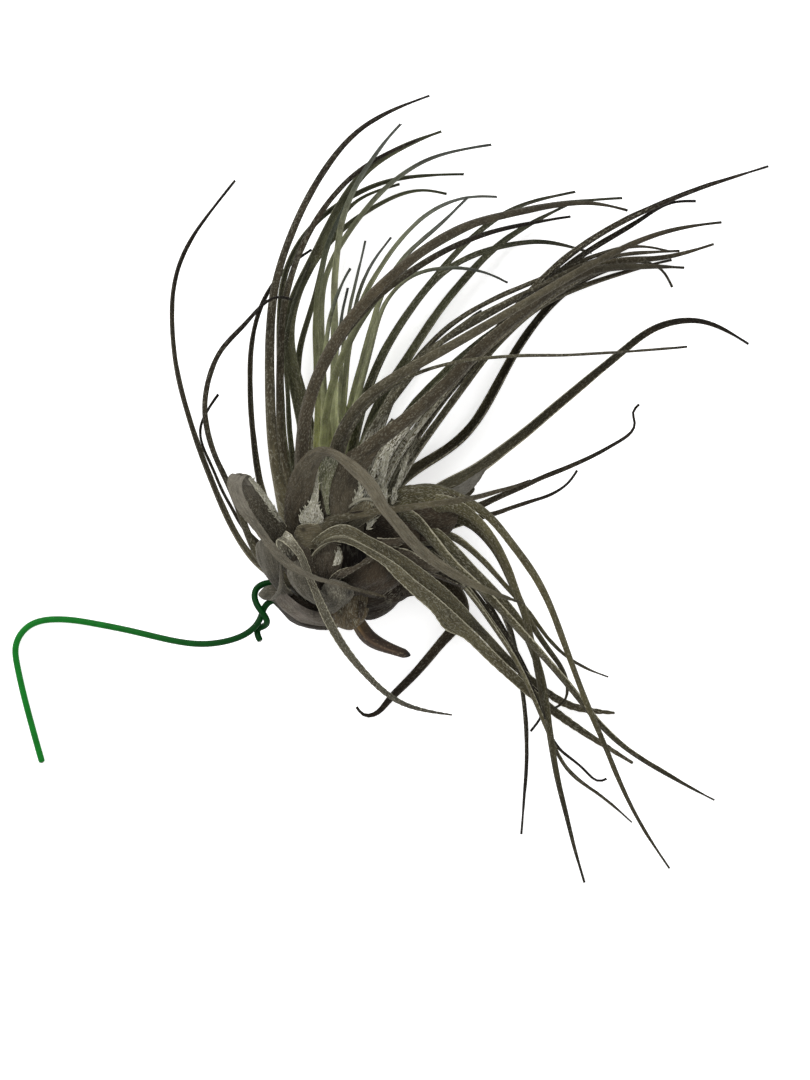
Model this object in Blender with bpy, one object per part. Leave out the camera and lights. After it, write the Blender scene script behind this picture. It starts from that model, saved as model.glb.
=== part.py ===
"""An air plant lying on its side, with the green coated wire that it is hung by.

The plant is two rosettes grown together. The main one points along +Y and its young heart
leaves are paler; the side one points along +X and its leaves droop towards -Y. Every leaf is a
tapering channelled blade on a smooth curve through a few points chosen by hand, in millimetres.
The origin is the small flat spot under the bulb on which the plant rests, with +Z up.
"""

import math

import bmesh
import bpy
import numpy as np
from mathutils import Vector

MM = 0.001
GOLDEN_ANGLE = math.radians(137.5)

# Blades
RING_SPACING = 10.0  # between two cross-sections along a leaf
TIP_WIDTH = 0.8
TIP_THICKNESS = 0.65
BASE_THICKNESS = 1.2
FLARE_LENGTH = 13.0  # how far the clasping sheath runs up the blade
FLARE_WIDTH, FLARE_SHARE = 3.0, 0.6  # what the sheath adds at the root: this much, and this share of the blade
TAPER, TAPER_POWER = 0.58, 1.6  # the share of its width that a blade loses along its length, mostly near the root
CHANNEL_SHARE = 0.24  # depth of the channel as a share of the blade's width
CLEARANCE = 0.5  # between two pieces that lie against each other

# The bulb of each rosette: centre and half sizes of its solid heart, and the way that it points
MAIN_BULB = ((0.5, 2.0, 19.5), (11.2, 16.4, 14.8))
SIDE_BULB = ((23.5, 9.5, 19.5), (8.8, 6.8, 9.0))
MAIN_AXIS = ((2.0, -14.0, 20.0), (-1.5, 26.0, 21.0))
SIDE_AXIS = ((10.0, 6.0, 20.0), (36.0, 13.0, 20.0))
HEART_PLUG = ((0.5, 26.0, 20.0), (3.4, 4.2, 3.8))

# Each leaf: blade width, roll at the root and twist to the tip in degrees, and its route from root to tip.
# With no roll the channel faces the axis of the rosette.
LEFT_LEAVES = [
    (2.2, 0, 0, [(-8, -8, 14), (-21, 0, 9), (-33, 22, 8), (-43, 54, 10), (-42.5, 82, 7), (-26.7, 106.5, 1)]),
    (2.5, 0, 20, [(-7, -8, 21), (-17.5, -2, 19), (-26, 16, 23), (-33.3, 33, 30), (-34.4, 48, 34),
               (-30.3, 58.7, 36), (-22.8, 66.7, 37), (-14, 73.2, 37), (-10.8, 72.5, 36)]),
    (1.0, 0, 0, [(-8, -5, 9), (-24, 9, 5), (-34, 28, 4.5), (-36.4, 37, 4.5), (-34, 43, 4.5), (-31.3, 46.6, 4)]),
    (2.2, 0, 0, [(-8, 0, 10), (-17.5, 14, 8), (-21, 30, 10), (-22.5, 52, 12), (-19.8, 70.5, 12), (-13, 81, 10),
              (-5.2, 87, 8)]),
    (3.4, 40, -15, [(-8, 2, 25), (-14, 20, 28), (-16.8, 50, 31), (-15, 79, 29), (-6.3, 101, 22), (9, 121, 11),
                (27.5, 130.2, 1)]),
    (3.2, 40, 15, [(-6, 4, 19), (-12.5, 25, 20), (-14.2, 50, 24), (-12.6, 72, 25), (-5, 93, 21.5), (7, 108.3, 16),
               (24.5, 117.8, 8.5)]),
    (4.8, 0, 0, [(-3, 10, 13), (-7.5, 38, 13), (-10.8, 54, 15), (-12, 66, 17), (-7, 80.5, 18), (0, 94, 16),
              (10, 109, 11), (31, 120.3, 2)]),
    (2.6, 0, 0, [(-6, 4, 14), (-12.8, 30, 13), (-14.2, 60, 13), (-12, 82, 13), (-1, 97.3, 11), (15, 106, 8),
              (37.3, 108.2, 2)]),
    (2.4, 0, 0, [(-3, 9, 9), (-7, 44, 7), (-11, 64, 9), (-6.5, 80, 11), (2, 91.5, 10), (14, 99.8, 8),
              (27, 103.7, 4), (32.5, 102.8, 2.5)]),
    (2.2, 0, 0, [(-4, 6, 7), (-9, 46, 4.5), (-8.4, 61, 5), (-4.5, 74, 6), (-1, 87, 7), (6, 99.5, 6),
              (19.3, 105.6, 3)]),
]
CROWN_LEAVES = [
    (4.1, 0, 0, [(-5, 6, 34), (-8, 28, 43), (-4.2, 49, 50), (4.3, 65, 52), (17, 79, 48), (36, 92.2, 35),
              (55, 97.8, 22), (76, 99.8, 9), (83, 98.2, 6)]),
    (2.7, 0, 0, [(-2, 10, 31), (-4, 38, 38), (3, 59, 43), (14, 73.3, 41), (28, 84, 34), (45, 91.8, 22),
              (67, 96.2, 9)]),
    (2.2, 0, 0, [(-1, 12, 28), (-1, 42, 33), (7, 64, 36), (20, 80.7, 33), (41, 94, 24), (62, 99.6, 14),
              (81.5, 101.5, 5)]),
    (2.7, 0, 0, [(3, 12, 12), (7.5, 40, 8), (17, 62, 8), (31, 81.5, 8), (50, 97.8, 6), (68.5, 103.3, 2)]),
    (3.0, 0, 0, [(4, 12, 15), (9.5, 44, 11.5), (20, 66.5, 11.5), (33, 81.5, 11), (48, 88, 9), (60, 89.2, 6.5),
              (73, 86.3, 3)]),
    (3.9, 0, 0, [(6, 10, 11), (13, 42, 5), (20.2, 54.5, 5), (28, 66.5, 5), (37.5, 78.7, 5),
              (49, 90, 4), (66, 99.5, 2)]),
    (3.5, 0, 0, [(1, 12, 31), (3.5, 36, 40), (13, 47.5, 45), (27, 56, 45.5), (43, 65, 40), (58, 74, 30.5),
              (70, 81, 21.5), (82, 87.5, 14.5), (95, 92.3, 8), (109.3, 94.7, 2)]),
    (5.2, 0, 10, [(2, 8, 33), (5.4, 25.5, 42), (16, 35, 45.5), (29, 46, 42), (43, 60, 33), (57, 71.5, 25),
               (71, 80.2, 17.5), (82, 82.2, 11.5), (98.8, 82, 3.5)]),
    (1.2, 0, 0, [(3, 9, 28), (5.5, 36, 35), (14, 46.3, 37.5), (20, 50, 39.5), (26, 52.7, 42.5), (37, 55.5, 46),
              (62, 57.1, 36), (82, 58.4, 20), (99.5, 60, 7)]),
    (2.8, 0, 0, [(6, 10, 18), (14, 36, 16), (22, 54, 16), (32, 64.7, 17), (46, 73.3, 15), (60, 79.3, 11.5),
              (73, 85, 9), (87, 88, 5), (95.3, 86.8, 3)]),
    (3.0, 0, 0, [(5, 10, 23), (12, 36, 24), (24, 55, 26), (41, 67, 23), (58, 76.5, 18), (74, 83.9, 12.5),
              (97.5, 86.7, 6)]),
    (4.2, 0, 0, [(7, 6, 28), (18, 33, 32), (33, 50, 30), (50, 65, 22.5), (66, 77, 13.5), (79, 83.4, 8),
              (92, 84.7, 4.5), (107.2, 88.7, 1.5)]),
    (3.0, 0, 0, [(8, 4, 23), (19, 34, 24), (32, 48.5, 24), (50, 65, 18), (68, 77.6, 10), (80, 82.8, 5),
              (88, 83.7, 3), (92.5, 81.5, 2.4), (95.5, 76.6, 2)]),
    (3.2, 0, 0, [(9, 4, 13), (20, 24, 10), (28, 36, 10), (44, 57.5, 10.5), (57, 70, 9), (70, 76.7, 5),
              (95.5, 84.2, 1.2)]),
    (2.5, 0, 0, [(4, 9, 26), (11, 35, 29), (18, 45.3, 31), (27, 57, 31), (37, 65.5, 29), (49, 72, 26),
              (60, 77, 20.5), (78, 82.3, 11)]),
    (2.4, 0, 0, [(3, 10, 21), (9, 34, 20), (15.5, 44.5, 20.5), (24, 54.5, 22), (33, 66, 21), (39, 76, 18)]),
    (3.8, 0, 0, [(6, 9, 16), (13.5, 27, 12.5), (20.5, 40, 12.5), (29, 49.8, 13.5), (38, 58, 13), (49, 66.5, 11),
              (62, 73.5, 8)]),
    (2.2, 0, 0, [(-4, 6, 18), (-9.6, 28, 17.5), (-11.3, 45, 20), (-12.2, 58, 21.5), (-10.4, 71, 22), (-5.5, 83, 20)]),
    (3.9, 0, 0, [(8, 5, 17), (20, 31, 16), (36, 52, 18.5), (52, 71, 17), (68, 86.2, 12.5), (87, 97.6, 7),
              (122.5, 110.7, 1)]),
    (3.2, 0, 0, [(8, 3, 11), (21, 30, 7.5), (36, 50.5, 7), (54, 70.5, 6.5), (70, 85.3, 5.5), (86, 95.2, 4),
              (95, 100.2, 3), (102.2, 100.7, 2.5)]),
    (4.4, 0, 0, [(8, 2, 10), (21.5, 23.8, 5), (32, 30.8, 4), (39, 37, 4), (44.8, 45.5, 4), (52.3, 59, 4), (58, 67.5, 3.5),
              (68, 77, 3), (84, 83.5, 1.5)]),
]
FRONT_LEAVES = [
    (4.5, 0, -90, [(-8, 2, 32), (-8.8, 19, 43), (-5.8, 28.4, 50.5), (1, 29.9, 55.5), (8, 25, 58), (14.6, 17.2, 58.5),
               (22.4, 7, 57), (29, 0.2, 54.5), (37, -5.6, 50), (46, -9.4, 45), (54, -11.8, 40)]),
    (4.4, 45, 0, [(-7, -6, 25), (-12, 3, 33), (-17.5, 13, 41), (-21.8, 20.5, 47), (-24.9, 23.4, 50.5),
              (-26.4, 21, 53), (-24.4, 15.6, 54.5), (-20.8, 10, 55), (-16, 4.6, 54), (-8, -2, 51.5),
              (3, -6.2, 47.5), (15.5, -9.8, 43)]),
    (3.4, 45, 0, [(-9, -6, 28), (-14, 0, 35), (-14.8, 4.6, 41), (-12.6, 7.4, 45), (-10.4, 5.2, 47.5), (-8, 0, 48),
              (-5.6, -5.5, 46.5), (-1.5, -13.5, 42), (3, -22.5, 34), (10, -31, 25), (20, -39.6, 14), (34, -43, 3)]),
    (4.8, 0, 0, [(-7.5, -3.5, 30), (-6, 1.6, 36), (-3.4, 4.6, 41), (0, 6, 44.5), (4.5, 5.4, 46.5), (9.5, 2.9, 46.8),
              (16.5, -1.6, 43.8), (23.8, -7.8, 38), (36.8, -18.8, 22), (50, -31.5, 10.5), (62, -42, 5), (84.5, -56.5, 1)]),
    (4.0, 0, 0, [(-8.5, -1, 29), (-6.8, 3.4, 35), (-4, 6.6, 39.5), (-0.5, 8.8, 42.5), (4.5, 9.2, 44.5), (10, 6.9, 45),
              (16, 3.4, 43.5), (22, -0.5, 40.5), (34, -10.5, 28), (46, -22.5, 13), (56, -33, 7), (66, -40, 4),
              (79.5, -42.5, 1)]),
    (2.6, 0, 0, [(-9, 2, 31), (-5.5, 5.6, 35), (-1.5, 9.9, 38.5), (5, 12.6, 40.5), (14, 14, 42), (22.4, 15, 42.5),
              (31, 16.2, 41.5), (45, 19, 33), (55.7, 22.4, 26)]),
]
HEART_LEAVES = [
    (2.5, 90, 0, [(-0.5, 24, 21), (0.8, 40, 23.5), (1.2, 60, 25), (1.5, 80, 25.5), (4, 97, 23), (10.5, 110.5, 17.5),
              (19.7, 122, 10)]),
    (2.6, 0, 0, [(-1, 25, 20), (-2.8, 42, 19.5), (-3.8, 62, 20), (-3.2, 76, 21), (0, 90, 20), (6, 102.5, 16)]),
    (2.0, 0, 0, [(-0.5, 25, 18), (-1.8, 42, 16), (-2.5, 64, 13), (-1.3, 79, 13.5), (4, 90, 13),
              (13, 102, 11), (27, 112, 7.5), (45, 116.4, 2.5)]),
    (2.0, 0, 0, [(0, 25, 22), (-1.6, 46, 28), (-1, 62, 30), (2.5, 75.5, 30), (5.8, 81.3, 29)]),
    (1.6, 0, 0, [(0.5, 25, 18.5), (0.8, 48, 17), (3, 67, 18), (4.9, 76.2, 18)]),
    (1.6, 0, 0, [(1.5, 25, 20), (2.6, 48, 20), (5, 69, 21), (7.5, 80, 21), (9.7, 89.3, 20)]),
    (1.8, 0, 0, [(1.5, 25, 20), (3.9, 50, 18), (6.5, 70, 18), (10.5, 81, 18), (17, 90.2, 16)]),
    (2.0, 0, 0, [(1, 25, 18), (3.6, 46, 14.8), (8, 70, 14.5), (14, 82, 14.5), (25, 95.3, 12), (35, 101, 9),
              (46.5, 101.8, 5)]),
    (2.5, 0, 0, [(2, 26, 18), (6.6, 46, 15.5), (9.9, 60, 15.5), (13.5, 72, 15.5), (21, 85, 14.5),
              (30, 93.5, 13.5), (38.3, 101.5, 12)]),
    (2.4, 0, 0, [(2, 26, 20), (7.6, 46, 20), (11.5, 61, 20), (16, 73, 19), (23, 79.7, 17.5), (33, 81.8, 15.5),
              (43, 80.8, 12.5), (49.5, 78, 10)]),
]
SIDE_LEAVES = [
    (3.8, 0, 0, [(22, 10, 14), (32, 20.3, 10), (40, 25.2, 9.5), (50, 32.4, 9), (65, 45, 8), (82, 59, 6.5), (92, 65.6, 5),
              (103, 67.2, 3), (117, 60.8, 1)]),
    (1.8, 0, 0, [(22, 8, 13), (41, 15.3, 9), (62, 24.5, 9), (79, 32.4, 9), (85, 39, 8), (84.6, 41.3, 8),
              (86.3, 43.8, 8)]),
    (1.5, 0, 0, [(23, 8, 16), (44.5, 13, 13), (57, 17, 11), (65, 20.7, 9), (69, 25.3, 8)]),
    (3.1, 0, 0, [(17, 12, 22), (21, 18.5, 25), (28, 20.3, 27.5), (36, 18, 29), (43.3, 13.3, 29.7), (50, 5.5, 29),
              (57, -4, 26.5), (67, -28, 19), (76, -50, 13.5), (86, -72, 6), (94.8, -86, 1)]),
    (3.3, 0, 0, [(23, 10, 25), (31, 16, 32), (38, 13.5, 34), (46, 4, 33), (52, -9, 27.5), (56, -22, 21),
              (58.3, -36, 17.3), (60, -44, 16)]),
    (2.7, 0, 0, [(23, 9, 21), (34, 13, 22), (43, 7, 21), (51, -7, 17), (61, -25, 11), (66, -34, 8.5),
              (65.3, -39, 7.5), (62.4, -41.2, 7)]),
    (3.0, 0, 0, [(23, 7, 20), (31, 8, 24), (38, 4.3, 23), (46, -3.5, 17.5), (54, -12.5, 10.5), (62, -23, 6),
              (69, -28.5, 3.5), (77.7, -32.3, 1.5)]),
    (5.4, 0, 0, [(19, 8, 24), (24, 10.5, 34), (32, 1.5, 37.5), (42, -8, 36), (54, -20.5, 29), (66, -34, 15.5),
              (78, -48.3, 7.5), (92, -58.6, 3.5), (107.5, -66.8, 1)]),
    (3.1, 0, 0, [(20, 8, 25), (28, 7, 30.5), (40, -3, 29), (51, -15, 21), (57.5, -28, 17), (61, -46, 12.5),
              (65, -68, 6), (71, -90, 1)]),
    (3.5, 0, 0, [(20, 5, 20), (30, 0, 23), (38, -7.5, 22), (46, -18.5, 18.5), (54, -32, 14), (61, -48, 9.5),
              (67.5, -59.3, 5.5), (75, -65, 2.5), (84.4, -73, 1)]),
    (2.5, 0, 0, [(21, 6, 16), (33, 2, 17.5), (44, -8, 14), (50.5, -20, 8.7), (53.5, -35, 5), (54.7, -55, 2.5),
              (53.4, -76.5, 1)]),
    (1.7, 0, 0, [(20, 5, 15), (34, -3, 13.5), (48, -20, 12.5), (58, -40, 9), (64, -52.5, 5.5), (71, -58.4, 3),
              (75.5, -61.4, 2), (77.2, -60.8, 1.6)]),
    (1.7, 0, 0, [(21, 6, 12), (36, -2, 8), (50, -22, 3.8), (58, -37, 2), (59.3, -42, 2), (56, -47.7, 2.5)]),
]
# Short blunt sheaths on the face of the bulb: width, route from root to blunt end
FACE_SHEATHS = [
    (9.0, [(-8, -2, 26), (-13, 7, 33), (-17.5, 15, 41), (-21.4, 21.6, 46.5)]),
    (7.2, [(-12, -10, 20), (-15, -6, 27), (-16.9, -1, 31.5), (-17.3, 5, 33.5)]),
    (7.2, [(-1, -13, 26), (-4, -10, 33), (-7.5, -5.5, 37.5), (-9.3, -1.3, 39.5)]),
    (8.0, [(7, -14, 20), (0, -15.2, 26), (-7, -14, 28), (-13, -11, 26), (-16.8, -9.2, 22.5), (-19, -8.3, 20.5)]),
    (8.5, [(6, -16, 22), (4.5, -13, 31), (3, -9, 37), (2, -5, 39.5)]),
    (10.5, [(6, -12, 26), (9, -8, 32), (13, -4, 35), (17, 0, 36)]),
    (4.5, [(0, -9, 30), (2.5, -5, 35), (7, -1.5, 37.5), (12, 1.5, 38)]),
    (8.5, [(-3, -10, 29), (-2.5, -5, 34.5), (-1.3, 0, 37.5), (-0.3, 4.6, 38.5)]),
    (6.0, [(3, 7, 33), (-1, 8, 36), (-5, 7.6, 37.5), (-8.7, 6.9, 37)]),
    (8.0, [(5, -6, 18), (5, -12, 22), (4.5, -16, 24), (4.2, -18.3, 24)]),
    (9.0, [(10, 5, 31), (9.8, 9, 35.5), (9.2, 13.5, 38), (9, 16.6, 38.5)]),
    (8.0, [(16, -6, 18), (19.5, -4, 26), (17.5, 0.5, 31), (13, 4, 35)]),
    (9.0, [(8, -6, 20), (13, -9, 22.5), (18, -10.3, 21), (22, -9, 17)]),
    (8.0, [(2, -8, 18), (7, -13, 22), (11.5, -13.8, 21.5), (16, -12, 19)]),
    (8.0, [(12, 8, 26), (18, 14, 30), (23, 18.5, 31), (29, 21, 29)]),
    (7.0, [(8, 12, 30), (13, 22, 34), (19, 29, 36)]),
]
SIDE_SHEATHS = [
    (8.0, [(22, 5, 18), (27, 8, 27), (33.4, 9.6, 28)]),
    (6.0, [(25, 11, 12), (34, 18.2, 9.5), (40, 20.6, 8.5)]),
    (7.0, [(18, 4, 20), (25, -1, 24), (31, -4, 25), (37, -8, 23)]),
    (8.0, [(20, 10, 16), (26, 10, 9.6), (33, 11.5, 8)]),
    (7.0, [(19, 7, 17), (24, 2.5, 12.4), (30, 0, 10.4)]),
    (7.0, [(21, 12, 19), (27, 16.6, 17.5), (33, 18.4, 17)]),
    (7.0, [(16, 10, 17), (20, 14.5, 12), (25, 17.5, 10)]),
]
# The curled dry leaf at the back, and the stub of an old stalk: width or radius, and route
DRY_LEAF = (4.6, [(8, -4, 12), (20, -5.5, 8), (30, -4.6, 6.5), (35.5, -8.5, 6), (37.3, -14, 5.5), (33.5, -20, 4.5),
                  (24, -31.3, 3), (16, -39.3, 1.9), (12.6, -42.6, 1.6), (9.6, -43, 1.9), (7.3, -40.8, 2.6)])
STUB = (2.1, [(2, -8, 19), (7.4, -16.4, 18.5), (10.6, -21, 18), (15.7, -23.9, 17), (22.3, -26.3, 15)])
# The wire, from its long free end round the plant's base knob and back to its short cut end
WIRE_RADIUS = 0.9
WIRE = [(-80.8, -56.3, 1), (-84.5, -43, 1), (-87.8, -29, 1), (-88.1, -23.5, 1), (-84.5, -18.2, 1), (-77, -16.3, 1.2),
        (-66, -17.5, 2.4), (-55, -19.7, 5.4), (-45, -22, 9.8), (-36, -23.1, 14.2), (-29, -22.3, 17.7),
        (-24.8, -20.9, 19.5), (-22.3, -19.4, 20.2), (-20.3, -17.3, 20.2), (-19.1, -14.8, 19.9), (-18.3, -12.8, 20),
        (-16.8, -11.3, 20.4), (-14.3, -10.3, 20.6), (-12.4, -8.6, 20), (-13.4, -6.7, 19.5), (-16, -6.0, 19.2),
        (-18.4, -6.3, 19.2), (-20.4, -7.5, 19.5), (-21.1, -9.4, 20.2), (-20.6, -11.7, 21.1), (-19.3, -13.8, 22),
        (-18, -15.7, 21.5), (-17.7, -17.2, 20), (-18.8, -18.2, 18.5), (-20.2, -19, 18.1), (-20.3, -20.4, 18.4),
        (-19.5, -22.2, 18.8)]
# Broad sheaths by a rule all round the main bulb, and the one on its underside that it rests on
RULED_SHEATHS = 19
RULED_WIDTH, RULED_LENGTH = 9.5, 23.0
RULED_BULB = (13.5, 18.0, 16.0)  # half sizes of the form round which they stand out
RULED_TOP = 0.6  # none grows from the top, where the sheaths are placed by hand
REST_SHEATH = (11.0, [(1, -13, 13), (0.6, -9, 5.5), (0.2, -3, 1.1), (0, 3, 0.55), (-0.4, 10, 1.5), (-1, 17, 4.6)])
GROUND_SIZE = 300.0


def spline(points, count):
    """Count points, evenly spaced, on the natural cubic spline through the given ones."""
    fixed = np.array(points, float)
    knots = np.concatenate([[0], np.cumsum(np.linalg.norm(np.diff(fixed, axis=0), axis=1))])
    gaps = np.diff(knots)
    size = len(fixed)
    system = np.eye(size)
    known = np.zeros((size, 3))
    for i in range(1, size - 1):
        system[i, i - 1 : i + 2] = gaps[i - 1], 2 * (gaps[i - 1] + gaps[i]), gaps[i]
        slopes = np.diff(fixed[i - 1 : i + 2], axis=0) / gaps[i - 1 : i + 1, None]
        known[i] = 6 * (slopes[1] - slopes[0])
    bend = np.linalg.solve(system, known)

    def at(where):
        i = np.clip(np.searchsorted(knots, where, side="right") - 1, 0, size - 2)
        gap = gaps[i][:, None]
        after = (where - knots[i])[:, None]
        before = gap - after
        curve = (bend[i] * before**3 + bend[i + 1] * after**3) / (6 * gap)
        line = (fixed[i] / gap - bend[i] * gap / 6) * before
        return curve + line + (fixed[i + 1] / gap - bend[i + 1] * gap / 6) * after

    fine = at(np.linspace(0, knots[-1], 400))
    run = np.concatenate([[0], np.cumsum(np.linalg.norm(np.diff(fine, axis=0), axis=1))])
    wanted = np.linspace(0, run[-1], count)
    even = np.stack([np.interp(wanted, run, fine[:, k]) for k in range(3)], axis=1)
    return even, run[-1]


def unit(vector):
    return vector / np.linalg.norm(vector)


def frames(route, inward, roll=0, twist=0):
    """The tangent, the upper side's normal and the sideways direction at each point, carried without spin."""
    tangents = np.gradient(route, axis=0)
    tangents /= np.linalg.norm(tangents, axis=1)[:, None]
    normal = unit(inward - tangents[0] * np.dot(inward, tangents[0]))
    found = []
    for i, tangent in enumerate(tangents):
        normal = unit(normal - tangent * np.dot(normal, tangent))
        angle = math.radians(roll + twist * i / (len(tangents) - 1))
        turned = normal * math.cos(angle) + np.cross(tangent, normal) * math.sin(angle)
        found.append((turned, np.cross(tangent, turned)))
    return found


def towards_axis(root, axis):
    """From a leaf's root straight to the axis of its rosette."""
    start, end = np.array(axis[0]), np.array(axis[1])
    along = unit(end - start)
    offset = np.array(root, float) - start
    return unit(along * np.dot(offset, along) - offset + 1e-3)


def blade(width, route_points, axis, roll=0, twist=0, blunt=False, margin=0.0):
    """A bmesh of one leaf: four-sided rings of edge, channel, edge and keel, closed at root and tip.

    A margin makes the shape that clears the leaf: it reaches furthest at the thin edges.
    """
    length = sum(math.dist(a, b) for a, b in zip(route_points, route_points[1:]))
    spacing = RING_SPACING / 2 if blunt else RING_SPACING
    count = max(5, round(length / spacing) + 1)
    route, length = spline(route_points, count)
    shape = bmesh.new()
    rings = []
    for i, (normal, side) in enumerate(frames(route, towards_axis(route[1], axis), roll, twist)):
        share = i / (count - 1)
        run = share * length
        if blunt:
            wide = width * math.sqrt(max(0.0, 1 - share**3)) + TIP_WIDTH
        else:
            wide = TIP_WIDTH + width * (1 - TAPER + TAPER * (1 - share) ** TAPER_POWER) * (1 - share**8)
            wide += (FLARE_WIDTH + FLARE_SHARE * width) * math.exp(-((run / FLARE_LENGTH) ** 2))
        thick = BASE_THICKNESS + (TIP_THICKNESS - BASE_THICKNESS) * share
        deep = CHANNEL_SHARE * wide * (1 - share)
        middle = route[i] + np.cross(side, normal) * margin * ((i == 0) - (i == count - 1))
        out = wide / 2 + 3 * margin
        edge = normal * (deep / 2 + 6 * margin * CHANNEL_SHARE * (1 - share))
        corners = [
            middle - side * out + edge,
            middle + normal * ((thick - deep) / 2 + 1.4 * margin),
            middle + side * out + edge,
            middle - normal * ((thick + deep) / 2 + 1.4 * margin),
        ]
        rings.append([shape.verts.new(corner * MM) for corner in corners])
    closed(shape, rings, mirrored=True)
    return shape


def closed(shape, rings, mirrored=False):
    """Walls of triangles between the rings, and both ends. If mirrored, both faces of a blade split alike."""
    sides = len(rings[0])
    for lower, upper in zip(rings, rings[1:]):
        for k in range(sides):
            j = (k + 1) % sides
            if mirrored and k >= sides / 2:
                shape.faces.new((lower[k], lower[j], upper[k]))
                shape.faces.new((lower[j], upper[j], upper[k]))
            else:
                shape.faces.new((lower[k], lower[j], upper[j]))
                shape.faces.new((lower[k], upper[j], upper[k]))
    for ring in (rings[0], rings[-1]):
        for k in range(2, sides):
            shape.faces.new((ring[1], ring[k], ring[(k + 1) % sides]))
    bmesh.ops.recalc_face_normals(shape, faces=shape.faces[:])


def tube(radius, route_points, spacing, sides=8, taper=0.0, margin=0.0):
    """A bmesh of a round bar on a smooth curve, with rounded ends, thinner by the taper's share at its far end."""
    route, length = spline(route_points, 60)
    count = round(length / spacing) + 1
    route, length = spline(route_points, count)
    shape = bmesh.new()
    rings = []
    for i, (normal, side) in enumerate(frames(route, np.array([0.0, 0.0, 1.0]))):
        share = i / (count - 1)
        wide = radius * (1 - taper * share) * (0.72 if i in (0, count - 1) else 1) + margin
        middle = route[i] + np.cross(side, normal) * margin * ((i == 0) - (i == count - 1))
        turns = [2 * math.pi * k / sides for k in range(sides)]
        spokes = [normal * math.cos(turn) + side * math.sin(turn) for turn in turns]
        rings.append([shape.verts.new((middle + wide * spoke) * MM) for spoke in spokes])
    closed(shape, rings)
    return shape


def bulb(centre, halves, segments=16, rings=10):
    """A solid ellipsoid."""
    shape = bmesh.new()
    bmesh.ops.create_uvsphere(shape, u_segments=segments, v_segments=rings, radius=1)
    for vert in shape.verts:
        vert.co = Vector(c + h * v for c, h, v in zip(centre, halves, vert.co)) * MM
    bmesh.ops.triangulate(shape, faces=shape.faces[:])
    return shape


def ruled_sheaths():
    """Sheaths out of the main bulb, each a golden angle on from the last, as leaves grow."""
    centre, halves = np.array(MAIN_BULB[0]), np.array(RULED_BULB)
    found = [REST_SHEATH]
    for i in range(RULED_SHEATHS):
        around = (i + 1) * GOLDEN_ANGLE
        out = np.array([math.sin(around), 0, -math.cos(around)])
        if out[2] > RULED_TOP:
            continue
        low = -0.95 + 1.15 * i / (RULED_SHEATHS - 1)
        route = []
        for share in (0, 0.25, 0.5, 0.75, 1):
            high = low + share * RULED_LENGTH / halves[1]
            reach = math.sqrt(max(0.12, 1 - (0.8 * high) ** 2)) * (0.62 + 0.5 * share**0.7)
            spot = centre + halves * out * reach + np.array([0, high * halves[1], 0])
            spot[2] = max(spot[2], 2.8)
            route.append(tuple(spot))
        found.append((RULED_WIDTH, route))
    return found


def ground():
    """A block whose top is the surface that the plant rests on."""
    shape = bmesh.new()
    bmesh.ops.create_cube(shape, size=GROUND_SIZE * MM)
    for vert in shape.verts:
        vert.co.z -= GROUND_SIZE / 2 * MM
    return shape


def finished(shape, name, colour, roughness):
    mesh = bpy.data.meshes.new(name)
    shape.to_mesh(mesh)
    shape.free()
    piece = bpy.data.objects.new(name, mesh)
    bpy.context.scene.collection.objects.link(piece)
    material = bpy.data.materials.new(name)
    material.use_nodes = True
    surface = material.node_tree.nodes["Principled BSDF"]
    surface.inputs["Base Color"].default_value = (*colour, 1)
    surface.inputs["Roughness"].default_value = roughness
    mesh.materials.append(material)
    return piece


def keep_main_body(mesh):
    """Fills hollows that the joining sealed, and drops loose scraps, by keeping only the largest shell."""
    shape = bmesh.new()
    shape.from_mesh(mesh)
    shells = []
    left = set(shape.verts)
    while left:
        shell = [left.pop()]
        for vert in shell:
            near = {edge.other_vert(vert) for edge in vert.link_edges} & left
            left -= near
            shell.extend(near)
        shells.append(shell)
    largest = max(shells, key=len)
    scraps = [vert for shell in shells if shell is not largest for vert in shell]
    bmesh.ops.delete(shape, geom=scraps, context="VERTS")
    shape.to_mesh(mesh)
    shape.free()


def boolean(piece, others, operation):
    """Joins the shapes to the piece, or cuts them from it, and removes them."""
    group = bpy.data.collections.new(piece.name + "_" + operation.lower())
    bpy.context.scene.collection.children.link(group)
    for number, shape in enumerate(others):
        mesh = bpy.data.meshes.new(f"{group.name}_{number}")
        shape.to_mesh(mesh)
        shape.free()
        group.objects.link(bpy.data.objects.new(mesh.name, mesh))
    modifier = piece.modifiers.new(operation.lower(), "BOOLEAN")
    modifier.operation = operation
    modifier.operand_type = "COLLECTION"
    modifier.collection = group
    modifier.solver = "MANIFOLD"
    graph = bpy.context.evaluated_depsgraph_get()
    joined = bpy.data.meshes.new_from_object(piece.evaluated_get(graph))
    piece.modifiers.clear()
    keep_main_body(joined)
    piece.data = joined
    for other in list(group.objects):
        bpy.data.objects.remove(other)
    bpy.data.collections.remove(group)


def leaves(table, axis, margin=0.0):
    return [blade(width, route, axis, roll, twist, margin=margin) for width, roll, twist, route in table]


def sheaths(table, axis, margin=0.0):
    return [blade(width, route, axis, blunt=True, margin=margin) for width, route in table]


def heart_shapes(margin=0.0):
    centre, halves = HEART_PLUG
    plug = bulb(centre, [half + margin for half in halves], segments=10, rings=6)
    return [plug, *leaves(HEART_LEAVES, MAIN_AXIS, margin)]


def side_shapes(margin=0.0):
    centre, halves = SIDE_BULB
    solid = bulb(centre, [half + margin for half in halves], segments=12, rings=8)
    return [solid, *leaves(SIDE_LEAVES, SIDE_AXIS, margin), *sheaths(SIDE_SHEATHS, SIDE_AXIS, margin)]


def wire_shape(margin=0.0):
    return tube(WIRE_RADIUS, WIRE, 2.2, margin=margin)


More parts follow.
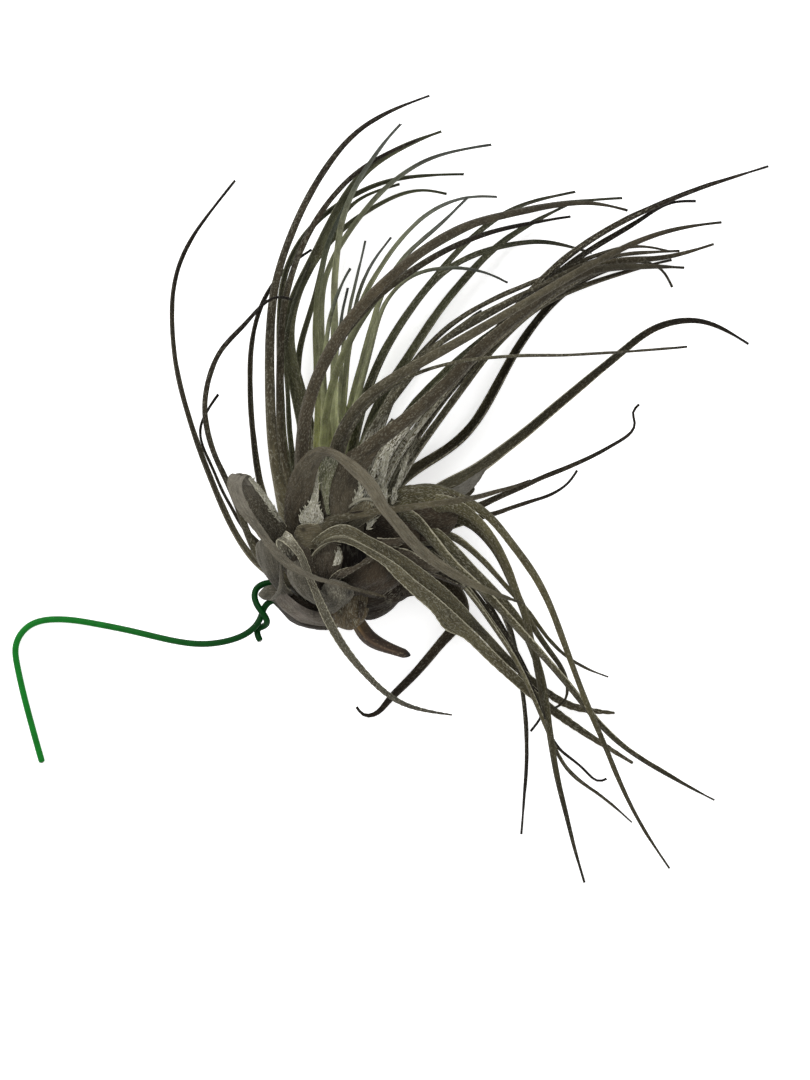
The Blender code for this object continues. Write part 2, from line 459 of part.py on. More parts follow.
def stub_shape(margin=0.0):
    radius, route = STUB
    return tube(radius, route, 3.5, sides=7, taper=0.1, margin=margin)


def dry_shape(margin=0.0):
    width, route = DRY_LEAF
    return blade(width, route, MAIN_AXIS, margin=margin)


def main_rosette():
    piece = finished(bulb(*MAIN_BULB), "main_rosette", (0.23, 0.22, 0.17), 0.85)
    grown = leaves(LEFT_LEAVES + CROWN_LEAVES + FRONT_LEAVES, MAIN_AXIS)
    grown += sheaths(FACE_SHEATHS + ruled_sheaths(), MAIN_AXIS)
    boolean(piece, grown, "UNION")
    seats = [ground(), wire_shape(CLEARANCE), stub_shape(CLEARANCE), dry_shape(CLEARANCE)]
    boolean(piece, seats + heart_shapes(CLEARANCE) + side_shapes(CLEARANCE), "DIFFERENCE")
    return piece


def heart():
    shapes = heart_shapes()
    piece = finished(shapes[0], "heart_leaves", (0.32, 0.35, 0.18), 0.8)
    boolean(piece, shapes[1:], "UNION")
    return piece


def side_rosette():
    shapes = side_shapes()
    piece = finished(shapes[0], "side_rosette", (0.25, 0.25, 0.17), 0.85)
    boolean(piece, shapes[1:], "UNION")
    return piece


def main():
    for old in list(bpy.data.objects):
        bpy.data.objects.remove(old)
    main_rosette()
    heart()
    side_rosette()
    finished(dry_shape(), "dry_leaf", (0.16, 0.09, 0.05), 0.9)
    finished(stub_shape(), "stem_stub", (0.12, 0.07, 0.04), 0.8)
    finished(wire_shape(), "hanging_wire", (0.03, 0.22, 0.06), 0.35)


main()
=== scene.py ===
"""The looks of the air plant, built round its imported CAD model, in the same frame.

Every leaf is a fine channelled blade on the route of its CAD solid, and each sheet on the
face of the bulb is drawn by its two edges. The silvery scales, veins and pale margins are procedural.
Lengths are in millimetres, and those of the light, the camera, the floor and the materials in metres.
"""

import math

import bpy
import numpy as np
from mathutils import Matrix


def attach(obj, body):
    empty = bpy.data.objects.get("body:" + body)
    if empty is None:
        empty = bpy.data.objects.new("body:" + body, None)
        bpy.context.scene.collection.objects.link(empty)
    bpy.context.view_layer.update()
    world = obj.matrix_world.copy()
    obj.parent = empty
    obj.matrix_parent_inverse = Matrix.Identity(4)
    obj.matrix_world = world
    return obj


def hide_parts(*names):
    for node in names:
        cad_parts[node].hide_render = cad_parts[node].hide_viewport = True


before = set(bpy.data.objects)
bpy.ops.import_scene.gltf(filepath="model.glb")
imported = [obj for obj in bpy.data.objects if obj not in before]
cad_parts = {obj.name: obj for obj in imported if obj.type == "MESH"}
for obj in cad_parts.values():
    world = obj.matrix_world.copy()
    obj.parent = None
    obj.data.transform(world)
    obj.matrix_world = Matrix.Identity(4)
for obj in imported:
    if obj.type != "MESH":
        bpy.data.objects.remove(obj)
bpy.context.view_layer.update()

MM = 0.001
LOWEST = 0.06  # blades, sheets and bars come no closer to the ground than this
SEED = 5
rng = np.random.default_rng(SEED)

# The light, the camera and the floor
CAMERA_HEIGHT = 4.0  # straight above the plant, far enough off for nearly parallel views
VIEW_CENTRE = (0.0208, 0.0059)
VIEW_HEIGHT = 0.3024  # what the long side of the frame takes in
SENSOR = 36.0
WORLD_LIGHT, KEY_LIGHT, FILL_LIGHT = 0.8, 20, 3
FLOOR_REACH, FLOOR_TONE, FLOOR_GLOW = 3.0, 0.95, 0.55

# Leaves
FLARE_LENGTH = 13.0  # how far the clasping root runs up the blade
FLARE_WIDTH, FLARE_SHARE = 3.0, 0.6  # what it adds to the width: this much, and this share of it
TAPER, TAPER_POWER = 0.58, 1.6  # the share of its width that a blade loses, most of it near the root
TIP_WIDTH = 0.6
THICK, THINNING = 0.75, 0.35  # at the root, and how much of it goes by the tip
HALF_ARC, CLOSING = 50, 30  # half the channel's arc at the root, in degrees, and what each closing adds
TONE_SPREAD, SHEATH_SPREAD = 0.14, 0.08  # how much leaves, and sheaths, differ in lightness
ROW_SPACING, FACES_ACROSS = 1.4, 12
EDGE_LOSS = 0.97  # brings a blade or sheet to a thin margin
KEEL, KEEL_REACH = 0.35, 0.3  # the rib under a blade, as shares of its thickness and of its width
SILVERING = 1.1  # how much more felt a silvered leaf has at its root
SMOOTH_FELT = 0.35
SHEATH_ROWS, SHEATH_FELT, SHEATH_RIM = 34, 0.5, 0.6
SHEATH_LEAN = 1.3  # how far in towards the bulb its end bends
RIM, RIM_SHARE = 0.62, 0.18  # how far in from a margin its paler line reaches, and as a share of the width
FULL_RIM = 3.0  # narrower blades have fainter margins

# Sheets
SHEET_SPACING, SHEET_FACES, SHEET_THICK = 0.6, 18, 0.55
NARROW = 0.3  # a narrower end keeps the sideways direction of what is before it
FLAKY, FLAKES = 1.4, 2.2  # sheets with more felt than this carry loose scales, so many a square millimetre

# The rounded hearts, by centre and half sizes, and the axes round which the leaves grow
MAIN_BULB = ((0.5, 2, 19.5), (11.2, 16.4, 14.8))
SIDE_BULB = ((23.5, 9.5, 19.5), (8.8, 6.8, 9))
HEART_PLUG = ((0.5, 26, 20), (3.4, 4.2, 3.8))
MAIN_AXIS = ((2, -14, 20), (-1.5, 26, 21))
SIDE_AXIS = ((10, 6, 20), (36, 13, 20))

# Leaves by rosette: width, route from root to tip, and roll and twist in degrees where there are any
LEFT_LEAVES = [
    (2.2, [(-8, -8, 14), (-21, 0, 9), (-33, 22, 8), (-43, 54, 10), (-42.5, 82, 7), (-26.7, 106.5, 1)]),
    (2.5, [(-7, -8, 21), (-17.5, -2, 19), (-26, 16, 23), (-33.3, 33, 30), (-34.4, 48, 34), (-30.3, 58.7, 36),
     (-22.8, 66.7, 37), (-14, 73.2, 37), (-10.8, 72.5, 36)], 0, 20),
    (1, [(-8, -5, 9), (-24, 9, 5), (-34, 28, 4.5), (-36.4, 37, 4.5), (-34, 43, 4.5), (-31.3, 46.6, 4)]),
    (2.2, [(-8, 0, 10), (-17.5, 14, 8), (-21, 30, 10), (-22.5, 52, 12), (-19.8, 70.5, 12), (-13, 81, 10),
     (-5.2, 87, 8)]),
    (3.4, [(-8, 2, 25), (-14, 20, 28), (-16.8, 50, 31), (-15, 79, 29), (-6.3, 101, 22), (9, 121, 11),
     (27.5, 130.2, 1)], 40, -15),
    (3.2, [(-6, 4, 19), (-12.5, 25, 20), (-14.2, 50, 24), (-12.6, 72, 25), (-5, 93, 21.5), (7, 108.3, 16),
     (24.5, 117.8, 8.5)], 40, 15),
    (4.8, [(-3, 10, 13), (-7.5, 38, 13), (-10.8, 54, 15), (-12, 66, 17), (-7, 80.5, 18), (0, 94, 16),
     (10, 109, 11), (31, 120.3, 2)]),
    (2.6, [(-6, 4, 14), (-12.8, 30, 13), (-14.2, 60, 13), (-12, 82, 13), (-1, 97.3, 11), (15, 106, 8),
     (37.3, 108.2, 2)]),
    (2.4, [(-3, 9, 9), (-7, 44, 7), (-11, 64, 9), (-6.5, 80, 11), (2, 91.5, 10), (14, 99.8, 8),
     (27, 103.7, 4), (32.5, 102.8, 2.5)]),
    (2.2, [(-4, 6, 7), (-9, 46, 4.5), (-8.4, 61, 5), (-4.5, 74, 6), (-1, 87, 7), (6, 99.5, 6),
     (19.3, 105.6, 3)]),
]
CROWN_LEAVES = [
    (4.1, [(-5, 6, 34), (-8, 28, 43), (-4.2, 49, 50), (4.3, 65, 52), (17, 79, 48), (36, 92.2, 35),
     (55, 97.8, 22), (76, 99.8, 9), (83, 98.2, 6)]),
    (2.7, [(-4, 10, 31), (-6.4, 38, 38), (0.8, 58.6, 42), (13.4, 73.3, 41), (28, 84, 34), (45, 91.8, 22),
     (67, 96.2, 9)]),
    (2.2, [(-1, 12, 28), (-1, 42, 33), (7, 64, 36), (20, 80.7, 33), (41, 94, 24), (62, 99.6, 14),
     (81.5, 101.5, 5)]),
    (2.7, [(3, 12, 12), (7.5, 40, 8), (17, 62, 8), (31, 81.5, 8), (50, 97.8, 6), (68.5, 103.3, 2)]),
    (3, [(4, 12, 15), (9.5, 44, 11.5), (20, 66.5, 11.5), (33, 81.5, 11), (48, 88, 9), (60, 89.2, 6.5),
     (73, 86.3, 3)]),
    (3.9, [(6, 10, 11), (13, 42, 5), (20.2, 54.5, 5), (28, 66.5, 5), (37.5, 78.7, 5), (49, 90, 4),
     (66, 99.5, 2)]),
    (3.5, [(1, 12, 31), (3.5, 36, 40), (13, 47.5, 45), (27, 56, 45.5), (43, 65, 40), (58, 74, 30.5),
     (70, 81, 21.5), (82, 87.5, 14.5), (95, 92.3, 8), (109.3, 94.7, 2)]),
    (5.2, [(2, 8, 33), (5.4, 25.5, 42), (16, 35, 45.5), (29, 46, 42), (43, 60, 33), (57, 71.5, 25),
     (71, 80.2, 17.5), (82, 82.2, 11.5), (98.8, 82, 3.5)], 0, 10),
    (1.2, [(3, 9, 28), (5.5, 36, 35), (14, 46.3, 37.5), (20, 50, 39.5), (26, 52.7, 42.5), (37, 55.5, 46),
     (62, 57.1, 36), (82, 58.4, 20), (99.5, 60, 7)]),
    (2.8, [(6, 10, 18), (14, 36, 16), (22, 54, 16), (32, 64.7, 17), (46, 73.3, 15), (60, 79.3, 11.5),
     (73, 85, 9), (87, 88, 5), (95.3, 86.8, 3)]),
    (3, [(5, 10, 23), (12, 36, 24), (24, 55, 26), (41, 67, 23), (58, 76.5, 18), (74, 83.9, 12.5),
     (97.5, 86.7, 6)]),
    (4.2, [(7, 6, 28), (18, 33, 32), (33, 50, 30), (50, 65, 22.5), (66, 77, 13.5), (79, 83.4, 8),
     (92, 84.7, 4.5), (107.2, 88.7, 1.5)]),
    (3, [(8, 4, 23), (19, 34, 24), (32, 48.5, 24), (50, 65, 18), (68, 77.6, 10), (80, 82.8, 5), (88, 83.7, 3),
     (92.5, 81.5, 2.4), (95.5, 76.6, 2)]),
    (3.2, [(9, 4, 13), (20, 24, 10), (28, 36, 10), (44, 57.5, 10.5), (57, 70, 9), (70, 76.7, 5),
     (95.5, 84.2, 1.2)]),
    (2.5, [(4, 9, 26), (11, 35, 29), (18, 45.3, 31), (27, 57, 31), (37, 65.5, 29), (49, 72, 26),
     (60, 77, 20.5), (78, 82.3, 11)]),
    (2.4, [(3, 10, 21), (9, 34, 20), (15.5, 44.5, 20.5), (24, 54.5, 21), (33, 63.4, 18), (42, 70, 14)]),
    (3.8, [(6, 9, 16), (13.5, 27, 12.5), (20.5, 40, 12.5), (29, 49.8, 13.5), (38, 58, 13), (49, 66.5, 11),
     (62, 73.5, 8)]),
    (2.2, [(-4, 6, 18), (-10.4, 28, 17.5), (-11.8, 45, 20), (-12.5, 58, 21.5), (-10.4, 71, 22),
     (-5.5, 83, 20)]),
    (3.9, [(8, 5, 17), (20, 31, 16), (36, 52, 18.5), (52, 71, 17), (68, 86.2, 12.5), (87, 97.6, 7),
     (122.5, 110.7, 1)]),
    (3.2, [(8, 3, 11), (21, 30, 7.5), (36, 50.5, 7), (54, 70.5, 6.5), (70, 85.3, 5.5), (86, 95.2, 4),
     (95, 100.2, 3), (102.2, 100.7, 2.5)]),
    (4.4, [(8, 2, 10), (21.5, 23.8, 5), (32, 30.8, 4), (39, 37, 4), (44.8, 45.5, 4), (52.3, 59, 4),
     (58, 67.5, 3.5), (68, 77, 3), (84, 83.5, 1.5)]),
]
FRONT_LEAF = (2.6, [(-9, 2, 31), (-5.5, 5.6, 35), (-1.5, 9.9, 38.5), (5, 12.6, 40.5), (14, 14, 42),
        (22.4, 15, 42.5), (31, 16.2, 41.5), (45, 19, 33), (55.7, 22.4, 26)])
HEART_LEAVES = [
    (2.5, [(-0.5, 24, 21), (0.8, 40, 23.5), (1.2, 60, 25), (1.5, 80, 25.5), (4, 97, 23), (10.5, 110.5, 17.5),
     (19.7, 122, 10)], 90, 0),
    (2.6, [(-1, 25, 20), (-2.8, 42, 19.5), (-3.8, 62, 20), (-3.2, 76, 21), (0, 90, 20), (6, 102.5, 16)]),
    (2, [(-0.5, 25, 18), (-1.8, 42, 16), (-2.5, 64, 13), (-1.3, 79, 13.5), (4, 90, 13), (13, 102, 11),
     (27, 112, 7.5), (45, 116.4, 2.5)]),
    (2, [(0, 25, 22), (-1.6, 46, 28), (-1, 62, 30), (2.5, 75.5, 30), (5.8, 81.3, 29)]),
    (1.6, [(0.5, 25, 18.5), (0.8, 48, 17), (3, 67, 18), (4.9, 76.2, 18)]),
    (1.6, [(1.5, 25, 20), (2.6, 48, 20), (5, 69, 21), (7.5, 80, 21), (9.7, 89.3, 20)]),
    (1.8, [(1.5, 25, 20), (3.9, 50, 18), (6.5, 70, 18), (10.5, 81, 18), (17, 90.2, 16)]),
    (2, [(1, 25, 18), (3.6, 46, 14.8), (8, 70, 14.5), (14, 82, 14.5), (25, 95.3, 12), (35, 101, 9),
     (46.5, 101.8, 5)]),
    (2.5, [(2, 26, 18), (6.6, 46, 15.5), (9.9, 60, 15.5), (13.5, 72, 15.5), (21, 85, 14.5), (30, 93.5, 13.5),
     (38.3, 101.5, 12)]),
    (2.4, [(2, 26, 20), (7.6, 46, 20), (11.5, 61, 20), (16, 73, 19), (23, 79.7, 17.5), (33, 81.8, 15.5),
     (43, 80.8, 12.5), (49.5, 78, 10)]),
]
SIDE_LEAVES = [
    (3.8, [(22, 10, 14), (32, 20.3, 10), (40, 25.2, 9.5), (50, 32.4, 9), (65, 45, 8), (82, 59, 6.5),
     (92, 65.6, 5), (103, 67.2, 3), (117, 60.8, 1)]),
    (1.8, [(22, 8, 13), (41, 15.3, 9), (62, 24.5, 9), (79, 32.4, 9), (85, 39, 8), (84.6, 41.3, 8),
     (86.3, 43.8, 8)]),
    (1.5, [(23, 8, 16), (44.5, 13, 13), (57, 17, 11), (65, 20.7, 9), (69, 25.3, 8)]),
    (3.1, [(17, 12, 22), (21, 18.5, 25), (28, 20.3, 27.5), (36, 18, 29), (43.3, 13.3, 29.7), (50, 5.5, 29),
     (57, -4, 26.5), (67, -28, 19), (76, -50, 13.5), (86, -72, 6), (94.8, -86, 1)]),
    (3.3, [(23, 10, 25), (31, 16, 32), (38, 13.5, 34), (46, 4, 33), (52, -9, 27.5), (56, -22, 21),
     (58.3, -36, 17.3), (60, -44, 16)]),
    (2.7, [(23, 9, 21), (34, 13, 22), (43, 7, 21), (51, -7, 17), (61, -25, 11), (66, -34, 8.5),
     (65.3, -39, 7.5), (62.4, -41.2, 7)]),
    (3, [(23, 7, 20), (31, 8, 24), (38, 4.3, 23), (46, -3.5, 17.5), (54, -12.5, 10.5), (62, -23, 6),
     (69, -28.5, 3.5), (77.7, -32.3, 1.5)]),
    (5.4, [(19, 8, 24), (24, 10.5, 34), (32, 1.5, 37.5), (42, -8, 36), (54, -20.5, 29), (66, -34, 15.5),
     (78, -48.3, 7.5), (92, -58.6, 3.5), (107.5, -66.8, 1)]),
    (3.1, [(20, 8, 25), (28, 7, 30.5), (40, -3, 29), (51, -15, 21), (57.5, -28, 17), (61, -46, 12.5),
     (65, -68, 6), (71, -90, 1)]),
    (3.5, [(20, 5, 20), (30, 0, 23), (38, -7.5, 22), (46, -18.5, 18.5), (54, -32, 14), (61, -48, 9.5),
     (67.5, -59.3, 5.5), (75, -65, 2.5), (84.4, -73, 1)]),
    (2.5, [(21, 6, 16), (33, 2, 17.5), (44, -8, 14), (50.5, -20, 8.7), (53.5, -35, 5), (54.7, -55, 2.5),
     (53.4, -76.5, 1)]),
    (1.7, [(20, 5, 15), (34, -3, 13.5), (48, -20, 12.5), (58, -40, 9), (64, -52.5, 5.5), (71, -58.4, 3),
     (75.5, -61.4, 2), (77.2, -60.8, 1.6)]),
    (1.7, [(21, 6, 12), (36, -2, 8), (50, -22, 3.8), (58, -37, 2), (59.3, -42, 2), (56, -47.7, 2.5)]),
]
SIDE_SHEATHS = [
    (8, [(22, 5, 18), (27, 8, 27), (33.4, 9.6, 28)]),
    (6, [(25, 11, 12), (34, 18.2, 9.5), (40, 20.6, 8.5)]),
    (7, [(18, 4, 20), (25, -1, 24), (31, -4, 25), (37, -8, 23)]),
    (8, [(20, 10, 16), (26, 10, 9.6), (33, 11.5, 8)]),
    (7, [(19, 7, 17), (24, 2.5, 12.4), (30, 0, 10.4)]),
    (7, [(21, 12, 19), (27, 16.6, 17.5), (33, 18.4, 17)]),
    (7, [(16, 10, 17), (20, 14.5, 12), (25, 17.5, 10)]),
]
# The curled dry leaf at the back, and the stub of an old stalk: width or radius, and route
DRY_LEAF = (4.6, [(8, -4, 12), (20, -5.5, 8), (30, -4.6, 6.5), (35.5, -8.5, 6), (37.3, -14, 5.5),
        (33.5, -20, 4.5), (24, -31.3, 3), (16, -39.3, 1.9), (12.6, -42.6, 1.6), (9.6, -43, 1.9),
        (7.3, -40.8, 2.6)])
STUB = (2.1, [(2, -8, 19), (7.4, -16.4, 18.5), (10.6, -21, 18), (15.7, -23.9, 17), (22.3, -26.3, 15)])
# The wire, from its long free end round the plant's base knob and back to its short cut end
WIRE_RADIUS = 0.9
CORE_RADII = (0.42, 0.42, 0.42, 0.36)  # of the steel in sight at each cut end
WIRE = [(-80.8, -56.3, 1), (-84.5, -43, 1), (-87.8, -29, 1), (-88.1, -23.5, 1), (-84.5, -18.2, 1),
        (-77, -16.3, 1.2), (-66, -17.5, 2.4), (-55, -19.7, 5.4), (-45, -22, 9.8), (-36, -23.1, 14.2),
        (-29, -22.3, 17.7), (-24.8, -20.9, 19.5), (-22.3, -19.4, 20.2), (-20.3, -17.3, 20.2),
        (-19.1, -14.8, 19.9), (-18.3, -12.8, 20), (-16.8, -11.3, 20.4), (-14.3, -10.3, 20.6),
        (-12.4, -8.6, 20), (-13.4, -6.7, 19.5), (-16, -6, 19.2), (-18.4, -6.3, 19.2), (-20.4, -7.5, 19.5),
        (-21.1, -9.4, 20.2), (-20.6, -11.7, 21.1), (-19.3, -13.8, 22), (-18, -15.7, 21.5), (-17.7, -17.2, 20),
        (-18.8, -18.2, 18.5), (-20.2, -19, 18.1), (-20.3, -20.4, 18.4), (-19.5, -22.2, 18.8)]

# Broad sheaths by a rule all round the main bulb, and the one on its underside that it rests on
GOLDEN_ANGLE = math.radians(137.5)
RULED_SHEATHS, RULED_WIDTH, RULED_LENGTH = 19, 9.5, 23.0
RULED_BULB = (13.5, 18.0, 16.0)  # half sizes of the form round which they stand out
RULED_TOP = 0.6  # none grows from the top, where the sheets are listed one by one
RULED_LOWEST = 2.8
REST_SHEATH = (11, [(1, -13, 13), (0.6, -9, 5.5), (0.2, -3, 1.1), (0, 3, 0.55), (-0.4, 10, 1.5),
        (-1, 17, 4.6)])
